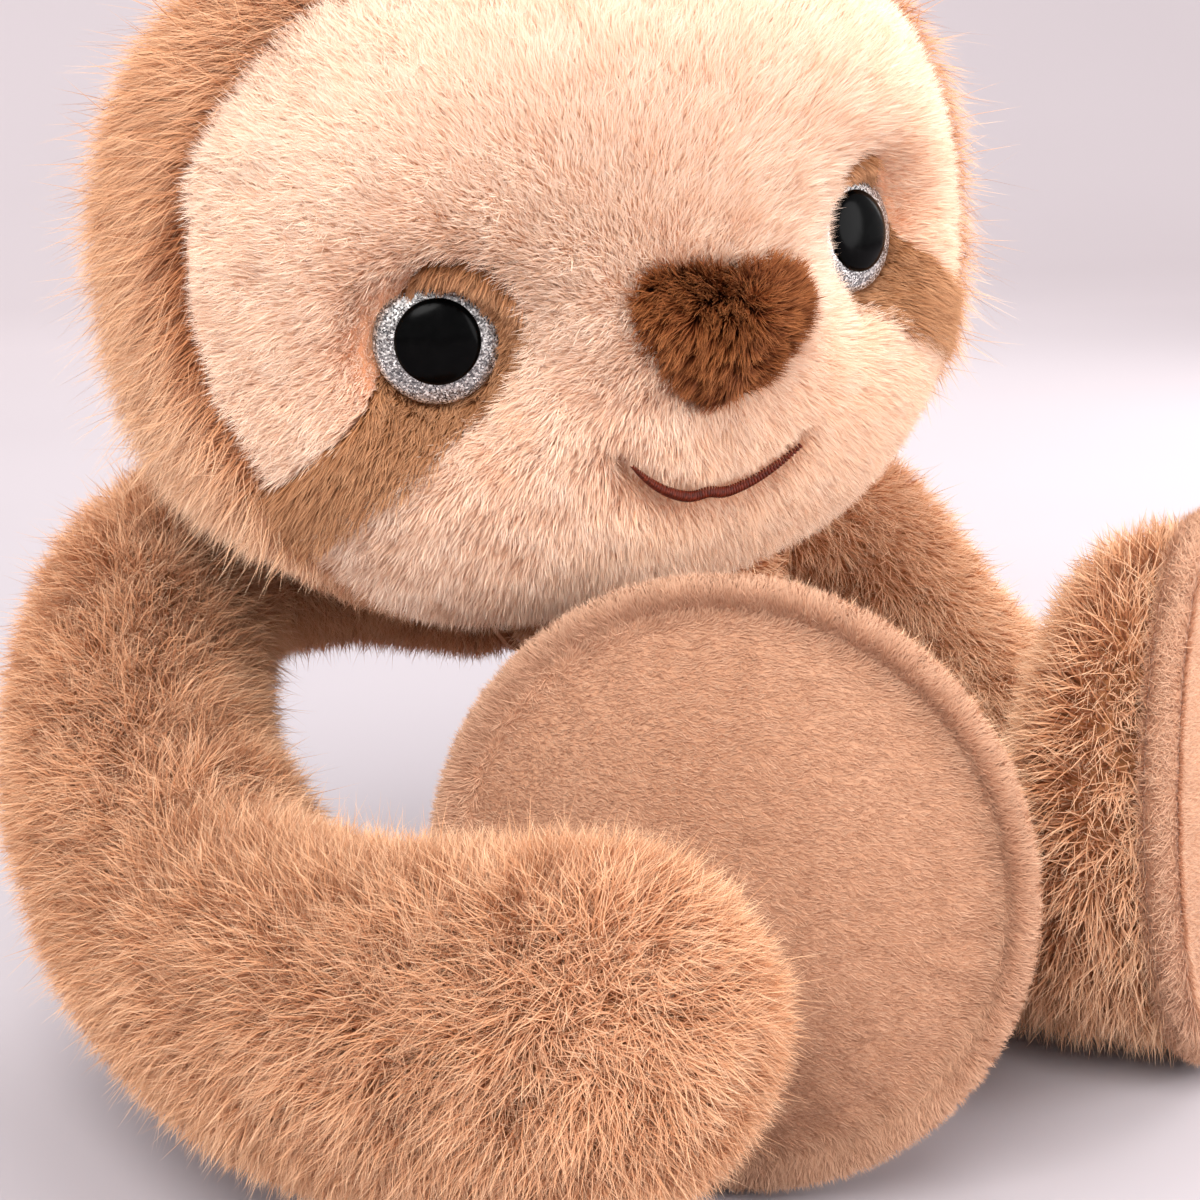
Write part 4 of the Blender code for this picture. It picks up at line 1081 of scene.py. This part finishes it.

# %% [markdown]
# ## The soles
#
# Each sole is a stuffed disc of velour, sewn to the leg with its edge turned over a thick roll. The
# disc is a dome that dips at its seam, rises over the roll and turns under. Its nap is one to three
# millimetres long, longest over the roll. It lies sideways on the disc, so one small triangle makes
# a blade of it, and a streaked relief on the cloth below carries the broader marks that a hand
# leaves in velour. The same streaks are painted into the cloth's colour as the sheen and shade of
# nap brushed different ways.

# %% Velour
def velour_build(nodes):
    place = nodes.add("ShaderNodeUVMap", {"uv_map": "disc"})
    stretched = nodes.add("ShaderNodeMapping", values={"Vector": place, "Scale": (26.0, 70.0, 1.0)})
    nap = nodes.add("ShaderNodeTexNoise", values={"Vector": stretched, "Scale": 3.2, "Detail": 5.0,
                                                  "Roughness": 0.62, "Distortion": 0.6})
    broad = nodes.noise(place, 5.0, 3.0)
    fine = nodes.noise(place, 420.0)
    # The colour follows the nap's streaks and broad patches: partly the velour's own uneven tone, partly painted
    # sheen and shade of brushed nap.
    mottle = (nap * 0.6 + broad * 0.4 + (fine - 0.5) * 0.25).clamped()
    return {"Base Color": nodes.ramp(mottle, (0.3, linear(176, 126, 96)), (0.5, linear(194, 147, 116)),
                                     (0.72, linear(208, 165, 136))),
            "Normal": nodes.bump(0.5, 0.5 * mm, nap + fine * 0.35)}


velour = finish_material("peach_velour_nap", velour_build, {
    "Base Color": (*linear(198, 145, 114), 1), "Roughness": 0.85, "Sheen Weight": 0.3, "Sheen Roughness": 0.4,
    "Specular IOR Level": 0.15})


def sole_disc(name, centre, facing, body, seed, blades, nodes_replaced):
    rise_way = unit(np.array((0.0, 0.0, 1.0)) - facing * facing[2])
    side_way = np.cross(rise_way, facing)
    reach = np.array((0.0, 8, 16, 22, 27, 31, 34, 36.5, 38.4, 39.6, 40.3, 41.0, 42.0, 43.0, 43.8, 44.0, 43.4,
                      42.2, 40.5, 39.0)) * mm
    lift = np.array((9.6, 9.4, 8.7, 7.7, 6.4, 5.0, 3.9, 3.0, 2.4, 2.1, 2.1, 2.5, 2.9, 2.7, 1.7, 0.3, -1.1,
                     -2.1, -2.6, -2.6)) * mm
    profile = smooth_run(np.stack([reach, lift], -1), 4)
    profile[0, 0] = 0.01 * mm
    sides = 144
    turns = np.linspace(0, 2 * math.pi, sides, endpoint=False)
    radius = profile[:, 0][:, None] * np.ones(sides)
    height = profile[:, 1][:, None] * np.ones(sides)
    folds = sum(np.sin(turns * count + phase) * size for count, phase, size in
                ((23, 0.4, 0.5), (31, 1.9, 0.4), (41, 4.0, 0.3)))
    band = np.exp(-((radius - 35 * mm) / (5 * mm)) ** 2)
    height = height + folds * band * 0.28 * mm
    shallow = np.exp(-((radius - 39.8 * mm) / (1.6 * mm)) ** 2) * (0.5 - 0.5 * np.cos(turns - 0.3))
    height = height + shallow * 0.8 * mm
    ridge = np.exp(-((radius - 33.5 * mm) / (1.6 * mm)) ** 2) * (0.4 + 0.6 * np.sin(turns + 2.2))
    height = height + ridge * 0.5 * mm
    points = (centre + radius[..., None] * (np.cos(turns)[:, None] * side_way + np.sin(turns)[:, None] * rise_way)
              + (height[..., None] + 0.8 * mm) * facing)
    flat = points.reshape(-1, 3)
    faces = grid_faces(len(profile), sides)
    pad = new_mesh(name, flat, [*faces.tolist(), *end_caps(len(profile), sides)])
    spread = (flat - centre) @ np.stack([side_way, rise_way], -1)
    loops = np.empty(len(pad.data.loops), int)
    pad.data.loops.foreach_get("vertex_index", loops)
    disc_map = pad.data.uv_layers.new(name="disc")
    disc_map.data.foreach_set("uv", (spread[loops] / (100 * mm) + 0.5).ravel().astype(np.float32))
    cleaned(pad, floor_gap)
    dressed(pad, velour, body, "peach_velour", nodes_replaced)
    out = unit(flat - centre - ((flat - centre) @ facing)[:, None] * facing)
    edge = np.clip((np.linalg.norm(spread, axis=1) - 37 * mm) / (4 * mm), 0, 1)[:, None]
    # The nap is paler over the roll, and toned lighter towards one side as painted light from the key lamp's side.
    guide = cleaned(new_mesh(f"{name}_guide", flat, faces, {
        "comb": side_way * (1 - edge) + out * edge, "pile_share": 0.75 + 0.6 * edge[:, 0],
        "thickness": 0.8 + 1.2 * edge[:, 0], "paler": 0.1 + 0.25 * edge[:, 0] - 0.3 * spread[:, 0] / (40 * mm)}))
    grown_pile(f"{name}_nap", guide, velour_pile, body, "peach_velour", seed, blades, fine_blade,
               length=1.7 * mm, width=0.2 * mm, stand=0.55, bend=0.2, wander=0.45, clump_size=1.0 * mm,
               clump_pull=0.3, curl=0.15 * mm, tone_patch=4 * mm)
    bpy.data.objects.remove(guide)


for side, seed, blades in (("right", 81, 110000), ("left", 82, 50000)):
    sole_disc(f"sole_{side}", *sole_places[side], f"leg_{side}", seed, blades,
              (f"foot_sole_{side}", f"sole_welt_{side}"))

# %% Clear the scaffolding and finish the sewing thread
for guide in guides.values():
    bpy.data.objects.remove(guide)
for unused in (nose_guide, fine_blade, bent_blade):
    bpy.data.objects.remove(unused)
for name, node in frame["nodes"].items():
    if not node.hide_render:
        node.data.materials.clear()
        node.data.materials.append(seam_thread)
        print("solid piece kept:", name)

# %% [markdown]
# ## Floor, light and camera
#
# The toy sits on a pale floor in soft studio light. The floor glows a little more the farther back
# it lies, so it fades towards white behind the toy and still catches the toy's shadow in front. A
# large soft lamp high on the left does most of the work. A weaker one fills from the right, a small
# one lights the top, one at the back edges the far arm, and the sky is even and pale.

# %% Floor and backdrop
def floor_build(nodes):
    place = nodes.place()
    cloud = nodes.noise(place, 3.0)
    far = nodes.add("ShaderNodeSeparateXYZ", values={0: place}).output("Y")
    return {"Base Color": nodes.ramp(cloud, (0.2, linear(176, 169, 173)), (0.8, linear(182, 175, 179))),
            "Emission Color": nodes.ramp(far, (0.3, (0.0, 0.0, 0.0)), (1.0, (0.28, 0.235, 0.235)))}


sweep = [(-3.0, 0.0), (1.2, 0.0)]
sweep += [(1.2 + 0.8 * math.sin(turn), 0.8 - 0.8 * math.cos(turn)) for turn in np.linspace(0, math.pi / 2, 13)[1:]]
sweep += [(2.0, 3.5)]
floor = new_mesh("studio_floor", [(side, y, z) for y, z in sweep for side in (-4.0, 4.0)],
                 grid_faces(len(sweep), 2, False)[:, ::-1])
floor.data.materials.append(finish_material("pale_floor", floor_build, {
    "Roughness": 0.9, "Specular IOR Level": 0.1, "Emission Strength": 1.0}))
floor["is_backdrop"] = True

world = bpy.data.worlds.new("studio")
bpy.context.scene.world = world
world.use_nodes = True
sky = world.node_tree.nodes["Background"]
net = Nodes(world.node_tree)
seen = net.add("ShaderNodeLightPath", out="Is Camera Ray")
sky.inputs["Color"].default_value = (*linear(250, 249, 252), 1)
world.node_tree.links.new((0.9 - seen * 0.05).socket, sky.inputs["Strength"])


def lamp(name, place, aim, size, power, colour):
    data = bpy.data.lights.new(name, "AREA")
    data.shape = "DISK"
    data.size = size
    data.energy = power
    data.color = colour
    made = bpy.data.objects.new(name, data)
    made.location = place
    made.rotation_euler = (Vector(aim) - Vector(place)).to_track_quat("-Z", "Y").to_euler()
    bpy.context.scene.collection.objects.link(made)


for name, place, aim, size, power, colour in (
        ("key", (-0.55, -0.85, 0.95), (-0.02, -0.03, 0.09), 0.8, 18.4, (1.0, 0.985, 0.965)),
        ("fill", (0.8, -0.75, 0.42), (0.02, 0.0, 0.09), 0.9, 10.0, (1.0, 0.99, 1.0)),
        ("top", (0.1, 0.5, 1.1), (0.0, 0.0, 0.1), 0.7, 3.4, (1.0, 1.0, 1.0)),
        ("back", (0.75, 0.35, 0.45), (0.06, 0.0, 0.08), 0.6, 6.0, (1.0, 0.99, 0.98))):
    lamp(name, place, aim, size, power, colour)

# %% Camera, sizes and the end
camera = bpy.data.objects.new("camera", bpy.data.cameras.new("camera"))
azimuth, elevation = math.radians(-20), math.radians(12)
back = Vector((math.sin(azimuth) * math.cos(elevation), -math.cos(azimuth) * math.cos(elevation),
               math.sin(elevation)))
camera.location = (-0.1742, -0.4261, 0.1688)
camera.rotation_euler = (-back).to_track_quat("-Z", "Y").to_euler()
camera.data.lens = 83.25
camera.data.sensor_width = 36.0
bpy.context.scene.collection.objects.link(camera)
bpy.context.scene.camera = camera
bpy.context.scene.view_settings.view_transform = "Standard"

low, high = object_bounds()
{"cad": [list(cad_low), list(cad_high)], "visual": [list(low), list(high)]}
print("visual model's box in mm:", [round(side / mm, 1) for side in high - low])
